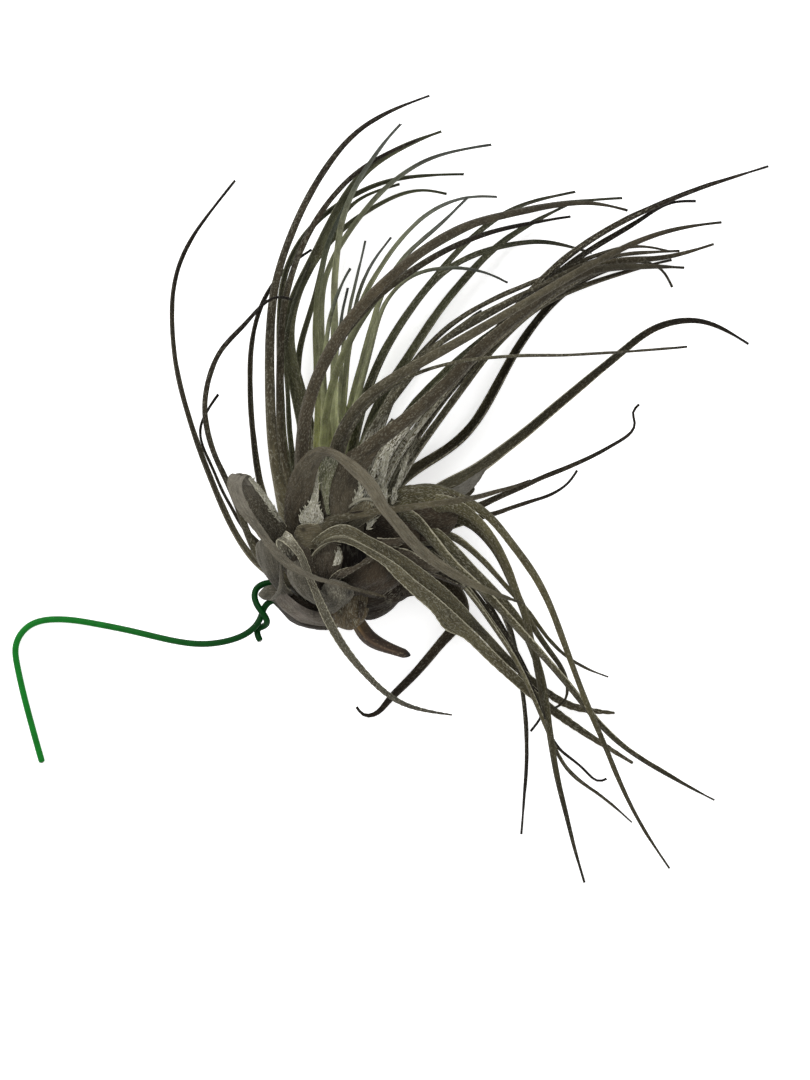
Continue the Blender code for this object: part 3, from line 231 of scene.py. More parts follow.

# The big sheets on the face of the bulb: kind, dome, felt, rim, the left and the right edge from root
# to end, and marks on the skin, some its own patches and some painted highlights and painted shade
# (place, reach, and how many times lighter or darker)
FACE_SHEETS = [
    ("limb", 0.1, 0.25, 0.25, [(-12, 6, 33), (-12.6, 11, 36.5), (-12.6, 16, 40), (-11.9, 20.5, 43.5),
     (-10.6, 24.4, 47), (-8.3, 28, 50.5), (-5.4, 30.7, 53.5), (-2.6, 31.7, 55.5), (0.5, 31.3, 57),
     (4, 29.6, 58), (7.6, 27.2, 58.7), (11, 24.2, 59), (13.6, 20.9, 59), (16.4, 15.6, 58.8), (19.4, 12, 58.2),
     (25.3, 5.2, 56), (31.2, 0.2, 53.5), (37.8, -4.2, 49.6), (46.4, -8.4, 45), (54, -11.6, 40)], [(-7, 6, 34),
     (-8.7, 10, 37), (-8.3, 12.9, 39.2), (-6.7, 15.4, 41.3), (-5.1, 18.2, 43.3), (-4.1, 21.8, 46),
     (-3.3, 25.2, 49.1), (-1.9, 28, 52.3), (-0.3, 29.1, 54.8), (1.8, 28.2, 56.5), (4, 26, 57.6),
     (6.4, 23.6, 58.3), (8.8, 21.2, 58.7), (12.4, 15.8, 58.7), (16.6, 10.4, 58), (22.8, 3.2, 55.7),
     (29.4, -2, 53.2), (36.7, -6.2, 49.3), (45.9, -9.7, 44.8), (54, -12, 40)], (51, -10.8, 4.5, 0.5)),
    ("fleece", -0.05, 1.8, 0.3, [(-6, 9.4, 38), (-8.6, 11.4, 39.8), (-8, 13.4, 40.8), (-6.4, 15.2, 41.8),
     (-5.2, 17.6, 42.6), (-4.6, 20.6, 43.8), (-3.4, 25, 45.6)], [(-3.2, 9.4, 38), (-1.7, 11.6, 39.6),
     (-2.2, 13.4, 40.6), (-3.2, 15.6, 41.8), (-3.1, 18.2, 42.8), (-3.1, 21, 44), (-3.4, 25, 45.6)]),
    ("sage", 0.08, 1.2, 0.2, [(-1, 13, 38.6), (-1.6, 16, 40.4), (-2.3, 19, 41.9), (-3, 22, 42.9),
     (-2.9, 25.4, 43.8), (-1.6, 28.9, 44.8)], [(0.2, 13, 39.2), (-0.3, 16, 41.2), (-0.1, 19, 42.8),
     (0.5, 22, 43.8), (1.5, 25, 44.4), (2.8, 28.6, 45)]),
    # The mark at (9.2, 18) is painted shade in the slit beside the painted highlight. The lighter marks are
    # the skin's own mottles.
    ("cradle", 0.13, 0.35, 0.4, [(-2, 8, 33), (-2.5, 12.5, 37.5), (-2.5, 17, 40), (-1.8, 21.5, 42),
     (0.4, 25.6, 43.2), (3.6, 29, 44), (7.6, 31.8, 44.4), (12, 33.6, 44.4)], [(9.3, 8, 33), (9.6, 12.5, 37.5),
     (9.2, 17, 40), (9.1, 21, 41.7), (9.8, 24.4, 42.8), (11.4, 27, 43.6), (13, 29.6, 44), (14.6, 32.4, 44.2)],
     (6.4, 22.6, 2.6, 0.72), (9.2, 18, 0.9, 0.4), (2.6, 13.6, 2.4, 1.3), (4.2, 19, 2.2, 1.2)),
    # painted highlight: a pale fleece sheet where light catches the broad sheath
    ("fleece", 0.05, 1.8, 0.3, [(5.2, 15.8, 41), (6.5, 17.2, 41.7), (7.3, 18.9, 42.1), (8.5, 21.4, 42.7)],
     [(8.9, 16.2, 41), (8.9, 17.5, 41.6), (8.9, 19, 42), (8.5, 21.4, 42.7)]),
    ("fleece", 0.05, 1.8, 0.2, [(12.2, 18, 33), (13.3, 22, 33.7), (14.3, 26, 34.1), (15.5, 30.4, 34.2)],
     [(13.4, 17.6, 33), (14.9, 22, 33.7), (16, 26, 34.1), (16.4, 30.4, 34.2)]),
    ("fleece", 0.05, 1.8, 0.2, [(17.4, 19.5, 30), (18.6, 22.5, 30.6), (19.8, 26, 31), (21.4, 29.6, 31.2)],
     [(18.4, 19, 30), (19.8, 22.3, 30.6), (21, 25.8, 31), (22, 29.5, 31.2)]),
    ("ash", 0.05, 1.8, 0.2, [(13, 15.2, 33), (13.6, 17.4, 33.7), (14.2, 20.6, 34)], [(15.4, 15, 33),
     (16, 17.4, 33.7), (15.6, 20.6, 34)]),
    ("ash", 0.05, 1.8, 0.2, [(16.6, 16, 32.4), (17, 18, 33), (17.4, 20.4, 33.2)], [(17.8, 15.8, 32.4),
     (18.6, 17.8, 33), (18.4, 20.4, 33.2)]),
    ("ash", 0.1, 1.6, 0.3, [(9.5, 20, 29), (11, 24, 30), (12.4, 28, 30.6), (14, 32.6, 30.8)],
     [(11.6, 19.4, 29), (12.8, 23.4, 30), (13.9, 27.4, 30.6), (15, 32.4, 30.8)]),
    ("limb2", -0.2, 0.45, 1, [(-10, -4, 27), (-15.5, 3, 34), (-19.5, 9, 39.5), (-22.5, 15, 44.5),
     (-24.9, 20, 48.5), (-26.8, 23.8, 50.8)], [(-4, 0, 28), (-9, 6, 33), (-12.8, 11, 37.5), (-15.4, 15.2, 42),
     (-18.2, 19.3, 46), (-21.8, 23.5, 50.3)]),
    ("fleece", 0.1, 1.6, 0.4, [(-14.2, 11, 38.6), (-17, 15, 42.9), (-19.7, 18.8, 46.6), (-22.6, 22.8, 50.4)],
     [(-13, 11, 38), (-15.4, 15, 42.4), (-18.1, 19.1, 46.3), (-21.7, 23.3, 50.5)]),
    ("strap", 0.1, 0.3, 0.4, [(-24.2, 21.5, 47.5), (-27, 24.3, 50), (-28.3, 22.3, 52.6), (-27.5, 18.2, 54),
     (-25.4, 14, 55), (-22.3, 10.2, 55.3), (-19.6, 6.8, 55), (-16.9, 3, 54.2), (-14, -0.2, 53),
     (-11.3, -2.4, 52), (-8.2, -3.9, 51), (-5.4, -4.9, 50), (-2.1, -5.8, 48.8), (2.3, -6.9, 47.4),
     (7, -8.2, 45.8), (11, -9.2, 44.4), (15.6, -10.1, 43)], [(-20.5, 21, 47.5), (-22.2, 23.8, 49.8),
     (-24, 22.3, 52), (-23.9, 19, 53.3), (-21.9, 14.6, 54.5), (-19, 10.1, 55), (-16.4, 6.4, 54.8),
     (-14.2, 3.6, 54), (-11.5, 1, 53), (-9.3, -0.8, 52), (-7.1, -2.3, 51), (-4.8, -3.5, 50),
     (-1.8, -4.6, 48.8), (2.6, -5.8, 47.4), (7.2, -7.2, 45.8), (11.2, -8.3, 44.4), (15.6, -9.6, 43)]),
    ("drape", 0.12, 0.9, 1, [(-12.6, 0, 37), (-14.6, 3.6, 42), (-14.8, 5.9, 44.5), (-12.9, 5.2, 46.8),
     (-10.6, 3.2, 48), (-8.9, 1, 48.5), (-7.8, -1.5, 48.3), (-6.9, -3.9, 47.3), (-5.6, -7, 45.5),
     (-4.5, -10, 43.2), (-3.4, -13, 40.6), (-1.9, -16.5, 37.6), (0.4, -20.6, 34.6), (2.4, -23.8, 31.8),
     (9.4, -32.2, 24.4), (19.4, -40.1, 14), (34, -43.3, 3)], [(-9, 1.5, 38), (-10.4, 5.4, 42.6),
     (-12.2, 8.4, 45.2), (-10.8, 7.6, 47.2), (-9.2, 5.4, 48.4), (-7.6, 3.1, 48.9), (-6.4, 0.6, 48.7),
     (-5.2, -2.6, 47.7), (-3.9, -6, 45.8), (-2.6, -9, 43.5), (-1.2, -12, 40.9), (0.4, -15.3, 37.9),
     (2.4, -19.2, 34.9), (4.2, -22.3, 32.2), (10.6, -30.8, 24.6), (20.2, -38.9, 14.2), (34, -42.8, 3)],
     (-11.3, 7, 1.9, 1.5), (-11.6, 1.2, 1.5, 0.2)),
    # Its marks are painted light: a painted highlight high on its left, where the light falls, and painted
    # shade low on the lobe.
    ("grey", 0.16, 0.3, 0.6, [(-13.5, -9.5, 25), (-16.3, -6, 28.5), (-18.6, -3, 30.5), (-20, 0, 32),
     (-20.7, 3, 33), (-20.2, 5.2, 33.5), (-18.2, 6.1, 33.8)], [(-10, -9, 27), (-12.6, -6, 31.5),
     (-13.2, -3, 34.5), (-13.3, 0, 36.5), (-13.9, 3, 37.5), (-15.8, 5.4, 36), (-18.2, 6.1, 33.8)],
     (-15, -5.2, 2.4, 0.5), (-17.6, 2.6, 1.6, 1.25)),
    ("brown", 0.12, 0.3, 0.5, [(-8, -7, 30), (-11.6, -4.4, 34.5), (-13, -1.4, 37), (-13.2, 2, 38),
     (-11.5, 4.6, 38.5), (-8, 5.6, 38.4)], [(-2, -8, 32), (-3.5, -4, 36), (-4.6, -0.6, 38), (-5.2, 2.4, 38.6),
     (-6.2, 4.8, 38.6), (-8, 5.6, 38.4)]),
    ("grey", 0.15, 0.45, 0.4, [(-2, -13, 31), (-5, -11.5, 34), (-7.8, -9.7, 36.2), (-10.1, -7.3, 38),
     (-11.6, -4.8, 39.4), (-11.9, -2.3, 40.2), (-10.8, -0.6, 40.4), (-9, 0.2, 40.4)], [(1, -10, 33.5),
     (-1.5, -9, 37), (-3.5, -7, 39.4), (-5, -4.5, 41), (-6, -2, 41.6), (-7, -0.5, 41.2), (-8, 0, 40.8),
     (-9, 0.2, 40.4)]),
    # painted shade: a near-black sheet under the mauve one, for the shade in the gap beneath it
    ("soot", 0.1, 0.1, 0, [(3, -18, 15), (-1, -19.2, 17), (-5, -18.9, 17.5), (-8.6, -18, 17.5),
     (-11.3, -16.6, 17.5), (-13.4, -14.4, 18), (-15.4, -12.3, 18.5), (-16.8, -10.9, 19.5)], [(3, -13, 25),
     (-1, -13, 26), (-4, -12, 27), (-7, -11, 27), (-9.5, -9.5, 27), (-11.8, -8, 26), (-13.6, -7.6, 25),
     (-15.8, -8.4, 22)]),
    ("mauve", 0.24, 0.3, 0.3, [(3, -16.4, 19), (-1, -17, 21), (-5, -16.7, 21.8), (-8.4, -15.9, 22),
     (-11, -14.7, 22), (-13, -12.9, 22), (-15, -11.5, 22), (-16.9, -10.8, 21.2)], [(3, -13, 27),
     (-1, -14.2, 28.5), (-4, -13.9, 29.2), (-7, -12.8, 29.4), (-9.5, -11.2, 29), (-11.8, -9.2, 28),
     (-13.7, -7.6, 26.6), (-16.9, -10.8, 21.2)], (-4.5, -14.2, 1.8, 0.5), (-8, -12.6, 1.4, 0.7),
     (-1, -15, 1.6, 0.6)),
    ("grey", 0.3, 0.3, 0.3, [(-13.5, -11.3, 22.4), (-16, -10.9, 22.8), (-18.2, -10.8, 22.3),
     (-19.4, -10, 21.6), (-19.7, -9, 21.3)], [(-13, -6.3, 25), (-15.5, -6.5, 25.2), (-17.4, -6.8, 24.4),
     (-19, -7.8, 22.8), (-19.7, -9, 21.3)], (-17.6, -9.4, 0.9, 0.55)),
    ("grey", 0.2, 0.3, 0.5, [(-13.2, 0.4, 38.4), (-13, -2, 37.6), (-12.9, -4.4, 36.4), (-13, -6.6, 34.6),
     (-13.6, -8.6, 32.2), (-14.9, -10.3, 29), (-17, -11, 25.4)], [(-14, 0.4, 38.2), (-14, -2, 37.2),
     (-14.1, -4.4, 36), (-14.3, -6.6, 34), (-14.8, -8.2, 31.4), (-15.6, -9.4, 28.4), (-17, -11, 25.4)]),
    ("umber", 0.1, 0.3, 0.8, [(3, 4.5, 34), (-1, 4.2, 37), (-4.5, 3.4, 38.5), (-7.3, 3.5, 38.9),
     (-9, 4.8, 38.4), (-9.8, 7.4, 37.6)], [(3, 10.6, 35.5), (-1, 10.3, 38), (-4.5, 10.5, 39.2),
     (-7.3, 10.4, 39), (-9.2, 9.5, 38.4), (-9.8, 7.4, 37.6)], (-7.3, 8.7, 0.75, 0.05), (-4.5, 7, 2, 1.2)),
    ("bract", -0.12, 0.7, 1, [(-3.5, 0, 34), (-3.8, 2.8, 38.5), (-1.5, 5.8, 42), (2, 6.9, 45),
     (5.5, 6.4, 46.7), (8.5, 5, 47), (12, 3.2, 46), (16, 0.9, 44.5), (20, -1.9, 42), (23, -4.6, 39),
     (27, -7.7, 34.5), (31, -11, 30), (37.4, -16.9, 21.8), (41.4, -20.8, 17.6), (45.4, -24.9, 14),
     (51, -30.4, 10.5), (63, -40.8, 5), (84.8, -56.2, 1)], [(-6.5, -3, 31), (-5.8, 0.4, 37),
     (-3.4, 3.6, 41.5), (0, 5.3, 44), (4.6, 4.9, 45.8), (7.5, 3.7, 46.2), (11, 1.4, 45.2), (14.5, -0.9, 43.5),
     (17.3, -3.8, 41), (20.3, -6.8, 38), (25, -11.2, 33), (28.6, -14.6, 28.5), (32.4, -19.4, 22.5),
     (36, -20.9, 19.4), (40, -24.1, 16), (44, -28, 13), (49.3, -32.8, 10), (61.5, -42.8, 4.7),
     (84.4, -56.9, 1)], (60, -40, 9, 0.75)),
    ("bract", -0.12, 0.7, 1, [(-9.5, 0, 30), (-8.3, 2, 35), (-6.3, 4.2, 38.5), (-4, 6.6, 41), (-1, 8.8, 43),
     (2, 10.1, 44.3), (5.3, 10, 45.2), (10, 7.5, 45.5), (15, 5, 44), (20, 2, 41.5), (24.5, -1.2, 38),
     (28.5, -4.2, 34), (34.4, -9.4, 27.5), (38, -13.2, 23), (41.6, -17.3, 18.4), (45.4, -21.4, 14.4),
     (50, -26.4, 10.6), (57, -32.6, 7), (66.5, -39, 4), (79.5, -42.1, 1)], [(-6, -3, 31), (-5.5, 0.8, 35),
     (-3.5, 4, 39), (-1.5, 5.8, 41.5), (1.5, 7, 43), (4.7, 6.8, 44.2), (8.5, 5, 44.8), (12.6, 2.6, 43.8),
     (16.4, -0.2, 41.2), (20.2, -3.2, 38), (24.2, -6.7, 34), (29.2, -10.8, 28.4), (33, -13.4, 24.8),
     (36.6, -16.5, 21), (40, -19.4, 16.8), (43.8, -23.2, 13), (48.6, -28.2, 9.8), (55.8, -34.2, 6.5),
     (65.6, -41, 3.8), (79.5, -42.9, 1)], (42, -18.6, 4, 0.5), (50, -27, 5, 0.55), (58, -34, 5, 0.65)),
    ("brown", 0.09, 0.3, 0.3, [(-4, -8, 30), (-5, -4, 34.5), (-5.3, -1, 37), (-4.9, 2, 38.3),
     (-3.3, 4.7, 38.8), (-1, 6, 38.4)], [(1.5, -7, 31), (2.6, -3.5, 35), (3.4, -0.5, 37), (3.5, 2.3, 37.8),
     (1.8, 5, 38.4), (-1, 6, 38.4)], (2.5, 1.3, 1.1, 3.4), (1.8, -0.2, 0.8, 2.4)),
    ("brown", 0.1, 0.5, 1, [(-1, -6, 33), (1, -3.4, 36.4), (3.5, -2, 38.2), (6.5, -1.3, 39), (9, 0.2, 39.4),
     (11.5, 1.9, 39.2), (13, 2.4, 38.9)], [(1, -8, 32), (2.7, -5.3, 36), (4.8, -3.9, 37.6), (7.2, -2.5, 38.6),
     (9.8, -0.9, 39.2), (12.4, 0.7, 39.2), (13, 2.4, 38.9)]),
    # Its marks are painted light: a painted highlight on the convex middle of this face and painted shade
    # towards its left.
    ("hide", 0.13, 0.2, 0.2, [(3, -9, 28), (2.8, -6.6, 32), (4, -4.6, 34.5), (7, -2.4, 36.3),
     (10, -0.4, 37.2), (12.5, 1.4, 37.4), (15, 2, 37)], [(12, -10, 26), (15.5, -8.8, 29), (18.6, -6.8, 31.5),
     (20.4, -4.4, 33.2), (20.4, -1.6, 34.8), (18.2, 0.9, 36.2), (15, 2, 37)], (6, -4.6, 3, 0.45),
     (12.6, -3.6, 2.6, 1.38), (17, -3, 1.6, 0.6)),
    ("grey", 0.12, 0.5, 0.2, [(-2.5, -15, 27), (-3, -12, 31), (-2.6, -9, 34.5), (-1.6, -6.3, 37.5),
     (0.5, -4.8, 39)], [(2.4, -13.2, 28.4), (5.2, -11.4, 31.4), (6.6, -9, 33.6), (5.2, -6.4, 36.6),
     (0.5, -4.8, 39)], (5.4, -8.7, 0.75, 0.05), (1.4, -8.6, 1.1, 1.5), (3.4, -9.6, 0.9, 1.5),
     (0.4, -12, 1.2, 0.5)),
    ("bast", 0.16, 0.5, 0.3, [(11, -6.5, 29), (11.4, -10, 28.6), (10.8, -13.4, 27), (9.2, -16.8, 24.5),
     (5.6, -19, 21.6)], [(-2, -8.5, 29), (-1.4, -12, 28.8), (-0.4, -15, 27), (1.8, -18, 24),
     (5.6, -19, 21.6)], (7.2, -16.2, 1.7, 1.5), (3, -14.4, 1.2, 0.55), (9, -10.5, 1.6, 0.6),
     (5.2, -16.6, 0.9, 0.5)),
    ("ash", 0.2, 1, 0.2, [(-1.2, -11.4, 30.4), (1, -13, 30.4), (3.4, -14.8, 29.4), (6.4, -16.4, 27)],
     [(-0.6, -10.4, 30.6), (1.8, -12.4, 30.6), (4, -14.2, 29.6), (6.6, -16, 27)]),
    ("bast", 0.25, 0.5, 0.2, [(3.4, -12, 31), (4.6, -13.4, 30.6), (6, -15, 29), (7.2, -16.6, 26.6)],
     [(5.2, -11.8, 31), (6.2, -13.2, 30.6), (7.2, -14.6, 29), (8, -16.3, 26.6)]),
    ("hide", 0.3, 0.4, 0.3, [(8, -11, 30.4), (8, -13, 30), (7.8, -15, 28.4), (7.4, -16.8, 26)],
     [(10, -11.4, 30), (9.6, -13.4, 29.4), (9, -15.4, 27.8), (8.2, -17, 25.6)]),
    # painted shade: a near-black sheet in the recess below the dark brown face
    ("soot", 0.2, 0.2, 0.3, [(7, -9, 28), (11, -8, 29.5), (15, -7.2, 29), (19, -6.8, 27), (22, -7.8, 24),
     (24.8, -9.4, 21.5)], [(8, -15.6, 21.5), (11, -16.4, 21), (14.5, -15, 20.5), (17.5, -12.4, 20),
     (20.4, -9.8, 19.8), (24.8, -9.4, 21.5)], (11, -13, 2.2, 0.6), (17, -9, 1.6, 1.5)),
    ("hide", 0.1, 0.5, 0.8, [(12.4, -9.4, 31), (14.4, -7.8, 32), (16.4, -6.4, 32.4), (18.6, -5.6, 32)],
     [(13.4, -10.4, 30.4), (15.6, -8.9, 31.4), (17.4, -7.3, 32), (18.6, -5.6, 32)]),
    ("hide", -0.12, 0.25, 0.2, [(4, 11, 35), (9, 13, 36), (14, 13.2, 36), (19, 12, 35), (25, 8.4, 33)],
     [(5, 5, 34), (10, 4, 33), (15, 3.2, 32.5), (19, 2.8, 32.5), (25, 5.4, 32)], (14, 8, 4, 0.62)),
    ("fleece", 0.05, 1.7, 0.3, [(10, 9, 36.8), (10.5, 10.6, 37.4), (11.4, 11.7, 37.6), (13, 12.2, 37.6)],
     [(10.5, 8.6, 36.8), (11.7, 9.8, 37.3), (12.4, 10.9, 37.5), (13, 12.2, 37.6)]),
    ("brown", 0.1, 0.4, 1, [(13, 6.6, 35.5), (16, 6.4, 36.6), (19, 6.5, 36.8), (22.4, 5.9, 36.4)],
     [(13, 3.6, 35), (16, 3.7, 36.2), (19, 4.2, 36.6), (22.4, 5.9, 36.4)]),
    ("brown", 0.08, 0.4, 0.9, [(16, 4.6, 34), (19.5, 3.8, 35.6), (22.5, 2.9, 36), (25.5, 0.9, 35.6),
     (28.4, -1, 34.5), (31, -2.6, 33)], [(16, -0.5, 33), (19, 0.4, 34), (22, -1, 34.4), (25, -2.4, 34),
     (28, -3.4, 33), (31, -2.6, 33)]),
    ("umber", 0.08, 0.6, 0.9, [(1, 10.5, 36), (3, 12.4, 38.5), (5.2, 14.2, 40.2), (7.2, 15.9, 41),
     (9.6, 17, 41.4), (11.5, 17.3, 41)], [(8, 9.5, 36.5), (11, 11.4, 38.6), (13.3, 12.9, 39.8),
     (14.8, 14.5, 40.4), (13.8, 16.2, 40.8), (11.5, 17.3, 41)], (10.6, 16.6, 1.3, 1.5), (7, 12.6, 1.6, 0.75)),
    ("fleece", 0.1, 1, 0.2, [(3.4, 14, 39.6), (6.4, 16.4, 41.6), (9.6, 17.6, 42), (12.6, 17, 41.6),
     (14.2, 15.4, 41.2)], [(4, 13.5, 39.8), (6.8, 15.8, 41.8), (9.6, 16.9, 42.2), (12.1, 16.4, 41.8),
     (14, 15.1, 41.2)]),
    # painted shade: a thin near-black strip along the fold under the pale streak of the wrinkled sheath
    ("soot", 0.1, 0.2, 0.2, [(1.6, 11.6, 38.4), (5, 13.4, 40.8), (8.6, 14, 41.6), (12.4, 14.4, 41.4),
     (14.4, 15, 41)], [(2.2, 11.1, 38.4), (5.4, 12.7, 40.8), (8.8, 13.3, 41.6), (12.5, 13.9, 41.4),
     (14.4, 14.7, 41)]),
    ("olive", 0.12, 1, 0.4, [(14, 15, 27), (18, 20, 28.5), (22, 21.2, 29), (26, 21.1, 29.3), (30, 20.2, 29.5),
     (34, 18.8, 29.6), (38, 17, 29.7)], [(14, 10, 29), (18, 13, 31), (22, 14.4, 32), (26, 14.8, 32),
     (30, 15, 31.5), (34, 15, 30.5), (38, 14.8, 29.5)], (24, 16.6, 3, 0.7), (31, 17, 2.4, 0.6)),
    ("hide", 0.06, 0.25, 0.3, [(17, 14.4, 30), (23, 15.4, 31.5), (28, 15.4, 31.5), (32, 15, 30.5),
     (35.8, 13.6, 29)], [(19, 7, 30), (25, 5.5, 31), (29, 6, 30.5), (32.5, 7.2, 30), (34.2, 9, 29)],
     (32, 9, 1.6, 0.7)),
    ("film", 0.05, 0.15, 0.2, [(32, 19.6, 25.5), (35, 20.8, 23), (38, 22.6, 20.5), (41, 24.6, 18.2),
     (44, 26.6, 16.5)], [(33, 18.2, 26), (36.8, 18.2, 24), (38.9, 19.6, 21.5), (40.4, 21, 19.4),
     (44, 26.6, 16.5)]),
    ("ash", 0.1, 1.4, 0.4, [(2, 10, 14), (5.6, 20, 12), (9.6, 28, 10), (13.6, 35, 9), (17, 40, 8)],
     [(12, 6, 14), (17.6, 17, 11), (21.6, 24.6, 9), (24.6, 30, 8), (26, 34, 7)]),
    ("fleece", 0.1, 1.7, 0.3, [(0.6, -1.2, 38.1), (1.1, 0.2, 38.5), (1.5, 1.8, 38.6), (2.3, 3.4, 38.4)],
     [(2.9, -0.7, 37.7), (3.3, 0.6, 37.9), (3.2, 2, 38.1), (2.3, 3.4, 38.4)]),
]


def linear(red, green, blue):
    """A colour given from 0 to 255 as a screen shows it, as linear RGB."""
    values = np.array([red, green, blue]) / 255
    return np.where(values <= 0.04045, values / 12.92, ((values + 0.055) / 1.055) ** 2.4)


# Colours of a leaf's root, middle and tip as a screen shows them, by kind of leaf
KINDS = {name: [linear(*colour) for colour in colours] for name, colours in {
    "umber": ((64, 59, 45), (84, 78, 61), (60, 54, 41)),
    "slate": ((90, 84, 64), (52, 47, 35), (27, 21, 15)),
    "dark": ((60, 56, 42), (40, 35, 25), (26, 21, 15)),
    "ash": ((104, 99, 84), (72, 68, 53), (58, 53, 41)),
    "sage": ((100, 100, 76), (86, 87, 64), (60, 61, 46)),
    "cocoa": ((60, 53, 41), (67, 60, 46), (62, 57, 44)),
    "olive": ((84, 80, 59), (76, 71, 49), (50, 46, 32)),
    "fresh": ((196, 200, 150), (126, 128, 98), (84, 87, 80)),
    "moss": ((142, 144, 92), (108, 110, 80), (62, 66, 56)),
    "reed": ((98, 96, 72), (84, 84, 62), (82, 84, 62)),
    "stripe": ((112, 107, 86), (46, 42, 28), (28, 23, 15)),
    "husk": ((64, 56, 44), (56, 48, 36), (40, 33, 24)),
    "limb": ((54, 47, 35), (98, 92, 77), (80, 75, 58)),
    "limb2": ((60, 54, 42), (66, 61, 50), (92, 87, 77)),
    "cradle": ((66, 60, 48), (66, 60, 48), (58, 51, 39)),
    "strap": ((108, 103, 93), (96, 91, 79), (54, 48, 36)),
    "drape": ((88, 84, 72), (80, 76, 62), (64, 61, 54)),
    "bract": ((80, 75, 58), (82, 77, 57), (60, 55, 40)),
    "grey": ((70, 66, 57), (80, 76, 66), (90, 86, 76)),
    "mauve": ((76, 70, 63), (90, 84, 77), (88, 83, 75)),
    "brown": ((46, 39, 30), (62, 55, 45), (72, 66, 55)),
    "hide": ((32, 25, 17), (50, 42, 32), (60, 52, 41)),
    "bast": ((64, 56, 42), (72, 62, 44), (66, 55, 36)),
    # painted shade: near-black for sheets laid in the bulb's recesses
    "soot": ((34, 27, 18), (34, 27, 19), (46, 38, 28)),
    "fleece": ((104, 100, 86), (136, 133, 118), (130, 127, 112)),
    "film": ((94, 91, 82), (104, 101, 93), (92, 88, 78)),
    "shoot": ((166, 170, 116), (92, 93, 70), (62, 63, 48)),
    # The bulbs' cores: their own dark brown made near-black, painted shade for the gaps between the sheaths
    "core_shade": ((24, 18, 12), (22, 16, 11), (20, 15, 10)),
}.items()}
SILVER, MARGIN, FLECK = linear(160, 157, 139), linear(178, 173, 150), linear(200, 197, 184)
STAIN, DUST = linear(58, 48, 34), linear(150, 136, 112)
STALK_FOOT, STALK = linear(92, 74, 44), linear(50, 38, 27)
COAT_FAR, COAT_IN_SHADE, STEEL = linear(16, 104, 30), linear(3, 50, 12), linear(150, 150, 146)

# The kind of each leaf in its table, and the crown leaves that stand out by number
LEFT_KINDS = "slate slate dark slate slate slate reed reed reed reed"
CROWN_KINDS = ("cocoa slate shoot sage sage sage umber cocoa ash ash ash "
               "umber ash ash ash sage sage sage slate slate stripe")
HEART_KINDS = "fresh moss fresh moss fresh fresh fresh fresh fresh fresh"
SIDE_KINDS = "stripe dark dark olive olive olive olive olive olive olive slate dark dark"
SHEATH_KINDS = "husk umber husk husk umber ash ash"
SILVERED = (9, 10, 11, 12, 13, 14, 15, 16, 18)  # those with streaks of silver at the root
SMOOTH = (0, 1, 2, 6, 7)  # those that show their bare brown backs


def runs(route):
    """How far along a route each of its points lies."""
    return np.concatenate([[0], np.cumsum(np.linalg.norm(np.diff(route, axis=0), axis=1))])


def spline(points, count):
    """Count points, evenly spaced, on the natural cubic spline through the given ones, and its length."""
    fixed = np.array(points, float)
    knots = runs(fixed)
    gaps = np.diff(knots)
    size = len(fixed)
    system = np.eye(size)
    known = np.zeros((size, 3))
    for i in range(1, size - 1):
        system[i, i - 1 : i + 2] = gaps[i - 1], 2 * (gaps[i - 1] + gaps[i]), gaps[i]
        slopes = np.diff(fixed[i - 1 : i + 2], axis=0) / gaps[i - 1 : i + 1, None]
        known[i] = 6 * (slopes[1] - slopes[0])
    bend = np.linalg.solve(system, known)
    where = np.linspace(0, knots[-1], 600)
    i = np.clip(np.searchsorted(knots, where, side="right") - 1, 0, size - 2)
    gap = gaps[i][:, None]
    after = (where - knots[i])[:, None]
    before = gap - after
    fine = (bend[i] * before**3 + bend[i + 1] * after**3) / (6 * gap)
    fine += (fixed[i] / gap - bend[i] * gap / 6) * before
    fine += (fixed[i + 1] / gap - bend[i + 1] * gap / 6) * after
    run = runs(fine)
    wanted = np.linspace(0, run[-1], count)
    return np.stack([np.interp(wanted, run, fine[:, k]) for k in range(3)], axis=1), run[-1]


def unit(vector):
    return vector / np.linalg.norm(vector)


def frames(route, inward, turns):
    """Upper normals and sideways directions along a route, carried without spin and then turned."""
    tangents = np.gradient(route, axis=0)
    tangents /= np.linalg.norm(tangents, axis=1)[:, None]
    normal = unit(inward - tangents[0] * np.dot(inward, tangents[0]))
    normals = []
    for tangent, angle in zip(tangents, turns):
        normal = unit(normal - tangent * np.dot(normal, tangent))
        normals.append(normal * math.cos(angle) + np.cross(tangent, normal) * math.sin(angle))
    normals = np.array(normals)
    return normals, np.cross(tangents, normals)


def towards_axis(root, axis):
    """From a leaf's root straight to the axis of its rosette."""
    start, end = np.array(axis[0], float), np.array(axis[1], float)
    along = unit(end - start)
    offset = np.array(root, float) - start
    return unit(along * np.dot(offset, along) - offset + 1e-3)


def step(low, high, value):
    """0 below low, 1 above high, and smooth between."""
    t = np.clip((value - low) / (high - low), 0, 1)
    return t * t * (3 - 2 * t)


def wave(shares, size, cycles):
    """A slow seeded wander along a leaf."""
    found = np.zeros(len(shares))
    for k in range(1, 4):
        found += np.sin(2 * math.pi * (cycles * k * shares + rng.random())) / k
    return size * found


def circle(count):
    return np.linspace(0, 2 * math.pi, count, endpoint=False)


# What the materials read at each vertex: its name, kind and field, and how many numbers it has
LAYERS = (("tint", "FLOAT_COLOR", "color", 3), ("felt", "FLOAT", "value", 1),
          ("edge", "FLOAT", "value", 1), ("grain", "FLOAT_VECTOR", "vector", 3))


